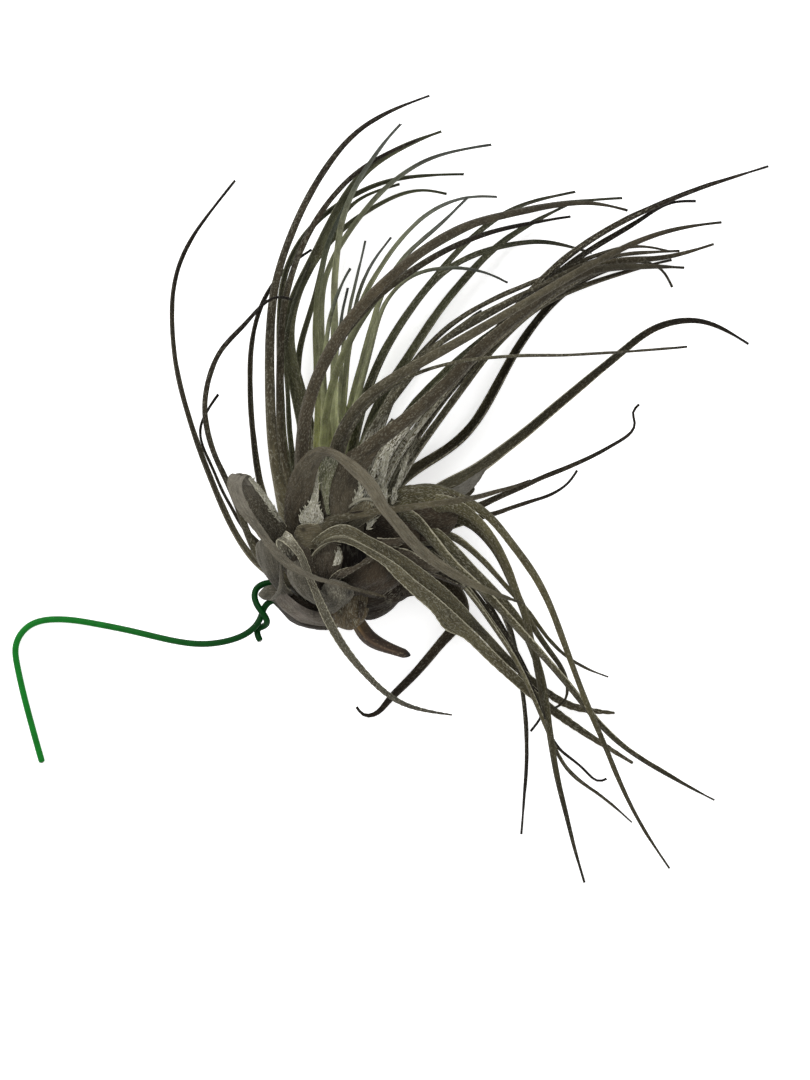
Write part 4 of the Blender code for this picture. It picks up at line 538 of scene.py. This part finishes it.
class Patch:
    """Vertices, faces and layers of one piece as they are gathered."""

    def __init__(self):
        self.points, self.faces, self.count = [], [], 0
        self.layers = {name: [] for name, *_ in LAYERS}

    def add(self, points, faces, **layers):
        """Adds points in any grid, faces by number in it, and a value or grid of values for each layer."""
        for name, _, _, size in LAYERS:
            shape = points.shape[:-1] + ((size,) if size > 1 else ())
            self.layers[name].append(np.broadcast_to(layers[name], shape).reshape(-1, size))
        self.points.append(points.reshape(-1, 3))
        self.faces += [tuple(self.count + k for k in face) for face in faces]
        self.count += points.size // 3


def wall(rows, around):
    """Quads of a tube of rows rings, and both ends closed."""
    faces = []
    for i in range(rows - 1):
        for k in range(around):
            j = (k + 1) % around
            faces.append((i * around + k, i * around + j, (i + 1) * around + j, (i + 1) * around + k))
    faces.append(tuple(range(around - 1, -1, -1)))
    faces.append(tuple((rows - 1) * around + k for k in range(around)))
    return faces


def spread(route, sides, normals, x, y):
    """The grid of points x sideways and y upwards from each place of a route, all above the ground."""
    solid = route[:, None] + sides[:, None] * x[:, :, None] + normals[:, None] * y[:, :, None]
    solid[:, :, 2] = np.maximum(solid[:, :, 2], LOWEST)
    return solid


def section(faces):
    """Places round a thin channel, from margin to margin and back: -1 to 1, and which side each is on."""
    across = np.sin(np.linspace(-1, 1, faces + 1) * math.pi / 2)
    ring = np.concatenate([across, across[-2:0:-1]])
    upper = np.concatenate([np.ones(faces + 1), -np.ones(faces - 1)])
    return ring, upper


def rims(ring, wide, strength):
    """How near each place is to a margin: the given strength there, none from a little way in."""
    reach = np.maximum(np.minimum(RIM, RIM_SHARE * wide), 0.001)
    strength = strength * np.minimum(wide / FULL_RIM, 1)
    return np.clip(1 - (1 - np.abs(ring)) * wide / 2 / reach, 0, 1) * strength


def skin_of(ring, upper, run, wide):
    """Places on the skin: across, along, and a number of its own for each leaf and side."""
    number = rng.random() * 90 + 0.7 * (upper < 0)
    return np.stack(np.broadcast_arrays(ring * wide / 2, run, number), axis=2)


def channel(patch, route, normals, sides, rows, tints, rim):
    """Adds a thin curved blade: an arc across each row, wide and turned as given, thick along its middle."""
    run, wide, half_turn, thick, lift, felts = (values[:, None] for values in rows)
    ring, upper = section(FACES_ACROSS)
    radius = wide / 2 / np.sin(np.minimum(half_turn, math.pi / 2))
    deep = radius * (1 - np.cos(half_turn))
    turn = half_turn * ring
    body = thick / 2 * np.sqrt(1 - EDGE_LOSS * ring**2)
    body = body * np.where(upper > 0, 1, 1 + KEEL * np.exp(-((ring / KEEL_REACH) ** 2)))
    x = radius * np.sin(turn) - upper * body * np.sin(turn)
    y = radius * (1 - np.cos(turn)) - deep / 2 + upper * body * np.cos(turn)
    y += lift * ring**2 * np.sign(ring)
    # painted shade: the tint is darker down the trough of the channel and lighter towards its margins
    shade = 0.8 + 0.32 * np.abs(ring)
    patch.add(spread(route, sides, normals, x, y), wall(len(route), len(ring)),
              tint=tints[:, None] * shade[:, None], felt=felts, edge=rims(ring, wide, rim),
              grain=skin_of(ring, upper, run, wide))


def toned(kind, share, first, last):
    """The colour along a leaf: root to middle by the first span of its length, tip in the last one."""
    base, middle, end = KINDS[kind]
    early = step(*first, share)[:, None]
    late = step(*last, share)[:, None]
    return (base * (1 - early) + middle * early) * (1 - late) + end * late


def blade(patch, width, points, axis, kind, roll=0, twist=0, felt=1.0, silver=0.0, curl=1.0, rim=0.6):
    """Adds one leaf: a channel that closes towards its tip."""
    count = max(30, round(runs(points)[-1] / ROW_SPACING))
    route, length = spline(points, count)
    share = np.linspace(0, 1, count)
    run = share * length
    turns = np.radians(roll + twist * share + wave(share, 3.5, 0.9))
    normals, sides = frames(route, towards_axis(route[1], axis), turns)
    settled = step(0, 0.2, share)[:, None]
    route = route + normals * wave(share, 0.12, 1.5)[:, None] * settled
    route = route + sides * wave(share, 0.09, 2.2)[:, None] * settled
    wide = 0.4 + width * (1 - TAPER + TAPER * (1 - share) ** TAPER_POWER) * (1 - share**8)
    wide += (FLARE_WIDTH + FLARE_SHARE * width) * np.exp(-((run / FLARE_LENGTH) ** 2))
    wide = np.maximum(wide * (1 + wave(share, 0.02, 3.5)) - 0.2, TIP_WIDTH)
    half_turn = np.radians(HALF_ARC + curl * CLOSING * (step(0, 0.3, share) + step(0.45, 1, share)))
    thick = np.minimum(THICK - THINNING * share, 0.5 * wide)
    light = (1 + TONE_SPREAD * rng.standard_normal()) * (1 - 0.45 * step(0.93, 1, share))[:, None]
    felts = felt * (1 - 0.4 * step(0.1, 0.5, share) - 0.4 * step(0.6, 0.95, share))
    felts = felts + silver * (1 - step(0.1, 0.42, share))
    channel(patch, route, normals, sides, (run, wide, half_turn, thick, wave(share, 0.05, 7), felts),
            toned(kind, share, (0.04, 0.4), (0.5, 0.9)) * light, rim)


def sheath(patch, width, points, axis, kind, light=1.0):
    """Adds one short blunt sheath round the sides of a bulb, bent in towards it at its end."""
    share = 1 - (1 - np.linspace(0, 1, SHEATH_ROWS)) ** 1.7
    dense, length = spline(points, 200)
    route = np.stack([np.interp(share, np.linspace(0, 1, 200), dense[:, k]) for k in range(3)], axis=1)
    normals, sides = frames(route, towards_axis(route[1], axis), np.radians(wave(share, 3, 0.5)))
    route = route + normals * (SHEATH_LEAN * share**5)[:, None]
    wide = width * (0.8 + 0.2 * step(0, 0.5, share)) * np.sqrt(np.maximum(0, 1 - share**3.4)) + 0.25
    half_turn = np.radians(48 + 8 * np.sin(share * math.pi))
    thick = np.minimum(0.7 - 0.25 * share, 0.5 * wide)
    light = light * (1 + SHEATH_SPREAD * rng.standard_normal())
    felts = SHEATH_FELT * (0.7 + 0.3 * step(0.3, 0.9, share))
    rows = (share * length, wide, half_turn, thick, wave(share, 0.1, 2), felts)
    channel(patch, route, normals, sides, rows, toned(kind, share, (0.1, 0.55), (0.6, 1)) * light, SHEATH_RIM)


def sheet(patch, kind, dome, felt, rim, left, right, *marks):
    """Adds a thin sheet between two edges, each drawn from its root to its end, domed up between them."""
    count = min(150, max(28, round(runs(left)[-1] / SHEET_SPACING)))
    near, far = spline(left, count)[0], spline(right, count)[0]
    route, across = (near + far) / 2, far - near
    wide = np.linalg.norm(across, axis=1)[:, None]
    sides = across / np.maximum(wide, 1e-6)
    for i in range(1, count):
        if wide[i] < NARROW:
            sides[i] = sides[i - 1]
    tangents = np.gradient(route, axis=0)
    normals = np.cross(sides, tangents)
    normals /= np.linalg.norm(normals, axis=1)[:, None]
    run = runs(route)[:, None]
    ring, upper = section(SHEET_FACES)
    phase = rng.random() * 6
    bare = 1 - ring**2
    folds = 0.035 * np.sin(5 * ring + 2 * np.sin(0.3 * run) + phase) * bare
    folds += 0.02 * np.cos(13 * ring - phase + np.sin(0.5 * run)) * bare
    thick = np.minimum(SHEET_THICK, 0.5 * wide) / 2 * np.sqrt(1 - EDGE_LOSS * ring**2)
    height = (dome * bare + folds) * wide + upper * thick
    ragged = np.sign(ring) * ring**8 * (0.05 * np.sin(2.3 * run + phase) + 0.04 * np.sin(5.1 * run - phase))
    solid = spread(route, sides, normals, ring * wide / 2 + ragged * np.minimum(wide, 1), height)
    tints = toned(kind, np.linspace(0, 1, count), (0.05, 0.5), (0.6, 1))[:, None]
    felts = np.full(solid.shape[:2], felt)
    # Each mark lightens or darkens the skin round its place. Some are the skin's own patches, others painted
    # highlights and painted shade. Marks over 1.4 times lighter get more felt, the others less.
    for east, north, reach, gain in marks:
        spot = np.exp(-(((solid[:, :, 0] - east) ** 2 + (solid[:, :, 1] - north) ** 2) / reach**2))
        tints = tints * (1 + (gain - 1) * spot)[:, :, None]
        felts = felts + spot * (0.8 if gain > 1.4 else -0.5 * felt)
    patch.add(solid, wall(count, len(ring)), tint=tints, felt=felts, edge=rims(ring, wide, rim),
              grain=skin_of(ring, upper, run, wide))
    if felt > FLAKY:
        area = float(np.sum(wide[1:] * np.diff(run, axis=0)))
        flakes(patch, solid, normals, tangents, round(area * FLAKES))


def flakes(patch, solid, normals, tangents, number):
    """Adds loose scales on a sheet's upper side: slim chips, each rooted in it at one end."""
    for _ in range(number):
        i = rng.integers(1, len(solid) - 1)
        spot = solid[i, rng.integers(1, SHEET_FACES)]
        along, up = unit(tangents[i]), normals[i]
        ahead = unit(along + np.cross(up, along) * 0.45 * rng.standard_normal())
        beside = np.cross(up, ahead)
        length, half = 0.6 + 1.1 * rng.random(), 0.14 + 0.12 * rng.random()
        rise = 0.12 + 0.35 * rng.random()
        points = np.array([
            spot + ahead * share * length + up * (high + y) + beside * x * half * wide
            for share, wide, high in ((-0.15, 0.6, -0.1), (0.45, 1.0, 0.1), (1.0, 0.25, rise))
            for x, y in ((-1, 0), (0, -0.06), (1, 0), (0, 0.06))
        ])
        patch.add(points, wall(3, 4), tint=SILVER * (0.8 + 0.55 * rng.random()), felt=0.2, edge=0,
                  grain=points)


def lump(patch, centre, halves, kind, rows=24, around=36):
    """Adds a closed rounded heart under the sheaths."""
    up, turn = np.linspace(-math.pi / 2, math.pi / 2, rows)[:, None], circle(around)
    ball = (np.cos(up) * np.cos(turn), np.sin(up), -np.cos(up) * np.sin(turn))
    ball = np.stack(np.broadcast_arrays(*ball), axis=2)
    ball[[0, -1]] = ball[[0, -1]] * 0.999 + ball[[1, -2]] * 0.001
    solid = np.array(centre) + ball * halves
    patch.add(solid, wall(rows, around), tint=KINDS[kind][1], felt=0.15, edge=0, grain=solid * 0.3)


def tube(patch, radii, route, around, tints, felt=0.0):
    """Adds a round bar with a radius and a tint of its own at each point of an evenly spaced route."""
    rows, turn = len(route), circle(around)
    normals, sides = frames(route, np.array([0.0, 0.0, 1.0]), np.zeros(rows))
    radii = np.broadcast_to(radii.reshape(rows, -1), (rows, around))
    solid = spread(route, sides, normals, radii * np.sin(turn), radii * np.cos(turn))
    grain = np.stack(np.broadcast_arrays(turn * radii.mean(), runs(route)[:, None], 0), axis=2)
    patch.add(solid, wall(rows, around), tint=tints.reshape(rows, -1, 3), felt=felt, edge=0, grain=grain)


def ruled_sheaths():
    """Sheaths out of the main bulb, each a golden angle on from the last, as leaves grow."""
    centre, halves = np.array(MAIN_BULB[0]), np.array(RULED_BULB)
    found = [REST_SHEATH]
    for i in range(RULED_SHEATHS):
        around = (i + 1) * GOLDEN_ANGLE
        out = np.array([math.sin(around), 0, -math.cos(around)])
        if out[2] > RULED_TOP:
            continue
        share = np.linspace(0, 1, 5)
        high = -0.95 + 1.15 * i / (RULED_SHEATHS - 1) + share * RULED_LENGTH / halves[1]
        reach = np.sqrt(np.maximum(0.12, 1 - (0.8 * high) ** 2)) * (0.62 + 0.5 * share**0.7)
        route = centre + halves * out * reach[:, None]
        route[:, 1] += high * halves[1]
        route[:, 2] = np.maximum(route[:, 2], RULED_LOWEST)
        found.append((RULED_WIDTH, route))
    return found


def add_object(name, data):
    made = bpy.data.objects.new(name, data)
    bpy.context.scene.collection.objects.link(made)
    return made


def piece(name, patch, node, material):
    """Makes the gathered patch a piece that replaces its CAD node."""
    mesh = bpy.data.meshes.new(name)
    points = np.concatenate(patch.points) * MM
    mesh.from_pydata([tuple(p) for p in points], [], patch.faces)
    mesh.update()
    for label, sort, field, _ in LAYERS:
        values = np.concatenate(patch.layers[label])
        if sort == "FLOAT_COLOR":
            values = np.column_stack([values, np.ones(len(points))])
        layer = mesh.attributes.new(label, sort, "POINT")
        layer.data.foreach_set(field, values.astype(np.float32).ravel())
    for polygon in mesh.polygons:
        polygon.use_smooth = len(polygon.vertices) == 4
    mesh.materials.append(material)
    made = add_object(name, mesh)
    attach(made, "root")
    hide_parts(node)


class Wiring:
    """Short ways to add and join the shader nodes of one material."""

    def __init__(self, name):
        self.material = bpy.data.materials.new(name)
        self.material.use_nodes = True
        self.tree = self.material.node_tree

    def feed(self, node, values):
        """Sets a node's inputs to constants, or joins other nodes' outputs to them."""
        for key, value in values.items():
            if isinstance(value, bpy.types.NodeSocket):
                self.tree.links.new(value, node.inputs[key])
            else:
                node.inputs[key].default_value = value

    def add(self, kind, output, values, **settings):
        """Adds a node and gives one of its outputs."""
        node = self.tree.nodes.new("ShaderNode" + kind)
        for key, value in settings.items():
            setattr(node, key, value)
        self.feed(node, values)
        return node.outputs[output]

    def finish(self, values):
        """Feeds the surface, and gives the material."""
        self.feed(self.tree.nodes["Principled BSDF"], values)
        return self.material

    def layer(self, name, output="Fac"):
        return self.add("Attribute", output, {}, attribute_name=name)

    def noise(self, scale, detail=2.0, vector=None, roughness=0.5):
        if vector is None:
            vector = self.add("TexCoord", "Object", {})
        values = {"Scale": scale, "Detail": detail, "Roughness": roughness, "Vector": vector}
        return self.add("TexNoise", "Fac", values)

    def fibres(self, across, along, detail, roughness=0.5):
        """Noise on the skin, drawn out along the leaf."""
        values = {0: self.layer("grain", "Vector"), 1: (across, along, 1)}
        place = self.add("VectorMath", 0, values, operation="MULTIPLY")
        return self.noise(1.0, detail, place, roughness)

    def remap(self, value, low, high, to_low=0.0, to_high=1.0, easing="LINEAR"):
        values = {"Value": value, "From Min": low, "From Max": high, "To Min": to_low, "To Max": to_high}
        return self.add("MapRange", "Result", values, interpolation_type=easing)

    def rise(self, value, low, high, to_high=1.0):
        """Nothing up to low, to_high from high on, and smooth between."""
        return self.remap(value, low, high, 0.0, to_high, "SMOOTHSTEP")

    def times(self, first, second):
        return self.add("Math", 0, {0: first, 1: second}, operation="MULTIPLY")

    def plus(self, first, second):
        return self.add("Math", 0, {0: first, 1: second}, operation="ADD")

    def cover(self, share, first, colour):
        """The first colour with a share of another over it."""
        return self.add("Mix", 2, {0: share, 6: first, 7: (*colour, 1)}, data_type="RGBA")

    def tinted(self, factor):
        """The tint of the place, made lighter or darker by a factor, which may be above 1."""
        values = {0: self.layer("tint", "Color"), "Scale": factor}
        return self.add("VectorMath", 0, values, operation="SCALE")

    def bump(self, height, distance, strength):
        values = {"Distance": distance, "Strength": strength, "Height": height}
        return self.add("Bump", "Normal", values)


def felt_material():
    """Leaf skin: veins along the blade under a felt of silvery scales, ragged and paler at the margins."""
    w = Wiring("leaf_felt")
    felt = w.layer("felt")
    veins = w.fibres(2.4, 0.13, 3.0, 0.6)
    streaks = w.fibres(2.6, 0.28, 2.0, 0.6)
    specks = w.fibres(4.2, 1.2, 1.0, 0.6)
    wrinkles = w.fibres(1.3, 0.3, 2.0, 0.55)
    grit, clouds, blotches = w.noise(4200), w.noise(210), w.noise(70)
    depth = w.times(w.remap(veins, 0.3, 0.7, -0.34, 0.34), w.remap(felt, 0.0, 0.8, 0.1, 1.0))
    tone = w.times(w.plus(depth, 1.0), w.remap(blotches, 0.3, 0.7, 0.82, 1.18))
    tone = w.times(tone, w.remap(grit, 0.3, 0.7, 0.84, 1.16))
    tone = w.times(tone, w.remap(wrinkles, 0.3, 0.7, 0.76, 1.24))
    colour = w.cover(w.rise(clouds, 0.5, 0.75, 0.3), w.tinted(tone), STAIN)
    amount = w.times(felt, w.remap(clouds, 0.3, 0.66, 0.45, 1.0))
    scales = w.rise(w.plus(w.times(specks, 0.75), w.times(grit, 0.25)), 0.515, 0.61)
    colour = w.cover(w.times(scales, w.times(amount, 0.72)), colour, SILVER)
    colour = w.cover(w.times(w.rise(streaks, 0.46, 0.58, 0.8), w.remap(felt, 1.0, 1.7)), colour, SILVER)
    colour = w.cover(w.times(w.rise(specks, 0.47, 0.56, 0.85), w.remap(felt, 1.4, 1.7)), colour, FLECK)
    rim = w.plus(w.layer("edge"), w.remap(specks, 0.35, 0.65, -0.25, 0.12))
    colour = w.cover(w.rise(rim, 0.35, 0.75, 0.78), colour, MARGIN)
    height = w.plus(w.plus(w.times(scales, 0.45), w.times(veins, 0.8)), w.times(wrinkles, 2.0))
    return w.finish({"Base Color": colour, "Roughness": 0.8, "Specular IOR Level": 0.12, "Sheen Weight": 0.06,
                     "Sheen Roughness": 0.5, "Normal": w.bump(height, 0.00022, 0.9)})


def bark_material():
    """Dead stalk: cracked along its length."""
    w = Wiring("old_stalk")
    cracks = w.fibres(2.2, 0.25, 4.0, 0.65)
    pale = w.times(w.rise(w.noise(1300, 3.0), 0.56, 0.72, 0.5), w.layer("felt"))
    colour = w.cover(pale, w.tinted(w.remap(cracks, 0.3, 0.7, 0.55, 1.45)), DUST)
    return w.finish({"Base Color": colour, "Roughness": 0.72, "Specular IOR Level": 0.3,
                     "Normal": w.bump(cracks, 0.0004, 0.8)})


def coat_material():
    """Satin green plastic with faint drawing lines and rub marks."""
    w = Wiring("green_coat")
    rubs = w.noise(420, 3.0)
    return w.finish({"Base Color": w.tinted(w.remap(rubs, 0.3, 0.7, 0.85, 1.15)),
                     "Roughness": w.remap(rubs, 0.35, 0.7, 0.38, 0.55), "Specular IOR Level": 0.08,
                     "Normal": w.bump(w.fibres(3.0, 0.3, 2.0), 0.00005, 0.4)})


def leaf_rows(patch, table, kinds, axis, felt=1.0, silvered=(), smooth=(), curl=1.0, rim=0.7):
    """Adds the leaves of a table, some of them silvered at the root or smooth, by number."""
    for i, ((width, route, *turned), kind) in enumerate(zip(table, kinds.split())):
        silver = SILVERING if i in silvered else 0.0
        own = SMOOTH_FELT if i in smooth or kind in ("dark", "stripe") else felt
        blade(patch, width, route, axis, kind, *turned, felt=own, silver=silver, curl=curl, rim=rim)


def main_rosette(skin):
    base = Patch()
    # The near-black core is painted shade for the gaps between the sheaths.
    lump(base, *MAIN_BULB, "core_shade")
    for i, (width, route) in enumerate(ruled_sheaths()):
        sheath(base, width, route, MAIN_AXIS, ("husk", "umber", "grey")[i % 3], light=0.85)
    for row in FACE_SHEETS:
        sheet(base, *row)
    piece("main_sheaths", base, "main_rosette", skin)
    blades = Patch()
    leaf_rows(blades, LEFT_LEAVES, LEFT_KINDS, MAIN_AXIS, felt=0.6, silvered=(6,), rim=0.5)
    blade(blades, *FRONT_LEAF, MAIN_AXIS, "umber", felt=0.5, curl=0.6)
    piece("main_outer_leaves", blades, "main_rosette", skin)
    crown = Patch()
    leaf_rows(crown, CROWN_LEAVES, CROWN_KINDS, MAIN_AXIS, silvered=SILVERED, smooth=SMOOTH)
    piece("main_crown_leaves", crown, "main_rosette", skin)


def heart(skin):
    patch = Patch()
    lump(patch, *HEART_PLUG, "fresh", 12, 18)
    leaf_rows(patch, HEART_LEAVES, HEART_KINDS, MAIN_AXIS, felt=0.5)
    piece("heart_blades", patch, "heart_leaves", skin)


def side_rosette(skin):
    patch = Patch()
    # The near-black core is painted shade for the gaps between the sheaths.
    lump(patch, *SIDE_BULB, "core_shade", 18, 28)
    leaf_rows(patch, SIDE_LEAVES, SIDE_KINDS, SIDE_AXIS, felt=0.65, curl=0.6, rim=1.0)
    for (width, route), kind in zip(SIDE_SHEATHS, SHEATH_KINDS.split()):
        sheath(patch, width, route, SIDE_AXIS, kind)
    piece("side_blades", patch, "side_rosette", skin)


def dry_leaf(skin):
    patch = Patch()
    blade(patch, *DRY_LEAF, MAIN_AXIS, "husk", felt=0.5)
    piece("dry_curled_leaf", patch, "dry_leaf", skin)


def stub():
    """The stub of an old stalk: ridged, swollen at its middle, with a painted highlight along its upper side
    and a dark end.
    """
    rows, around = 60, 30
    radius, points = STUB
    route = spline(points, rows)[0]
    share, turn = np.linspace(0, 1, rows)[:, None], circle(around)
    girth = radius * (0.8 + 0.22 * np.exp(-(((share - 0.5) / 0.2) ** 2)) - 0.18 * step(0.6, 1, share))
    ridges = 1 + 0.06 * np.sin(3 * turn + 4 * share) + 0.025 * np.sin(7 * turn - 6 * share)
    radii = girth * ridges * np.sqrt(np.clip((1 - share) / 0.07, 0.03, 1))
    dark = step(0.3, 0.55, share)
    tints = (STALK_FOOT * (1 - dark) + STALK * dark) * (1 - 0.85 * step(0.9, 0.97, share))
    # painted highlight: a pale band along the upper side of the stub, where the light falls
    highlight_band = np.exp(-(((turn - 0.3 - 2 * math.pi * (turn > math.pi)) / 0.22) ** 2))
    painted_highlight = step(0.3, 0.4, share) * (1 - step(0.82, 0.9, share)) * highlight_band
    patch = Patch()
    tube(patch, radii, route, around, tints[:, None] * (1 + 1.6 * painted_highlight)[:, :, None], 0.6)
    piece("stalk_stub", patch, "stem_stub", bark_material())


def wire():
    """The coated wire, with painted shade darkening it round the knob, and its steel core in sight at both
    cut ends.
    """
    patch = Patch()
    count = 330
    route = spline(WIRE, count)[0]
    # painted shade: the coat darkens from its free end towards the knob, in the shade of the plant
    near = step(0.25, 0.72, np.linspace(0, 1, count))[:, None]
    radii = np.full(count, WIRE_RADIUS)
    radii[[0, -1]] = WIRE_RADIUS * 0.8
    tube(patch, radii, route, 20, COAT_FAR * (1 - near) + COAT_IN_SHADE * near)
    for end, inner in ((route[0], route[3]), (route[-1], route[-4])):
        out = unit(end - inner)
        core = np.linspace(end - out * 0.6, end + out * 0.25, len(CORE_RADII))
        tube(patch, np.array(CORE_RADII), core, 12, np.tile(STEEL, (len(core), 1)))
    piece("coated_wire", patch, "hanging_wire", coat_material())


def floor():
    mesh = bpy.data.meshes.new("floor")
    corners = [(x * FLOOR_REACH, y * FLOOR_REACH, 0) for x, y in ((-1, -1), (1, -1), (1, 1), (-1, 1))]
    mesh.from_pydata(corners, [], [(0, 1, 2, 3)])
    mesh.materials.append(Wiring("pale_floor").finish({
        "Base Color": (FLOOR_TONE, FLOOR_TONE, FLOOR_TONE, 1), "Roughness": 0.95,
        "Emission Color": (1, 1, 1, 1), "Emission Strength": FLOOR_GLOW}))
    made = add_object("floor", mesh)


def lamp(name, place, size, power):
    data = bpy.data.lights.new(name, "AREA")
    data.shape = "DISK"
    data.size = size
    data.energy = power
    made = add_object(name, data)
    made.location = place
    made.rotation_euler = (-made.location).to_track_quat("-Z", "Y").to_euler()


def studio():
    world = bpy.data.worlds.new("studio")
    world.use_nodes = True
    background = world.node_tree.nodes["Background"]
    background.inputs["Color"].default_value = (1, 1, 1, 1)
    background.inputs["Strength"].default_value = WORLD_LIGHT
    bpy.context.scene.world = world
    lamp("key", (-0.8, 1.0, 1.6), 1.0, KEY_LIGHT)
    lamp("fill", (0.9, -0.6, 1.6), 1.2, FILL_LIGHT)
    data = bpy.data.cameras.new("camera")
    data.sensor_width = SENSOR
    data.lens = SENSOR * CAMERA_HEIGHT / VIEW_HEIGHT
    data.clip_end = 20
    camera = add_object("camera", data)
    camera.location = (*VIEW_CENTRE, CAMERA_HEIGHT)
    bpy.context.scene.camera = camera
    bpy.context.scene.view_settings.view_transform = "Standard"


def main():
    studio()
    floor()
    skin = felt_material()
    main_rosette(skin)
    heart(skin)
    side_rosette(skin)
    dry_leaf(skin)
    stub()
    wire()


main()
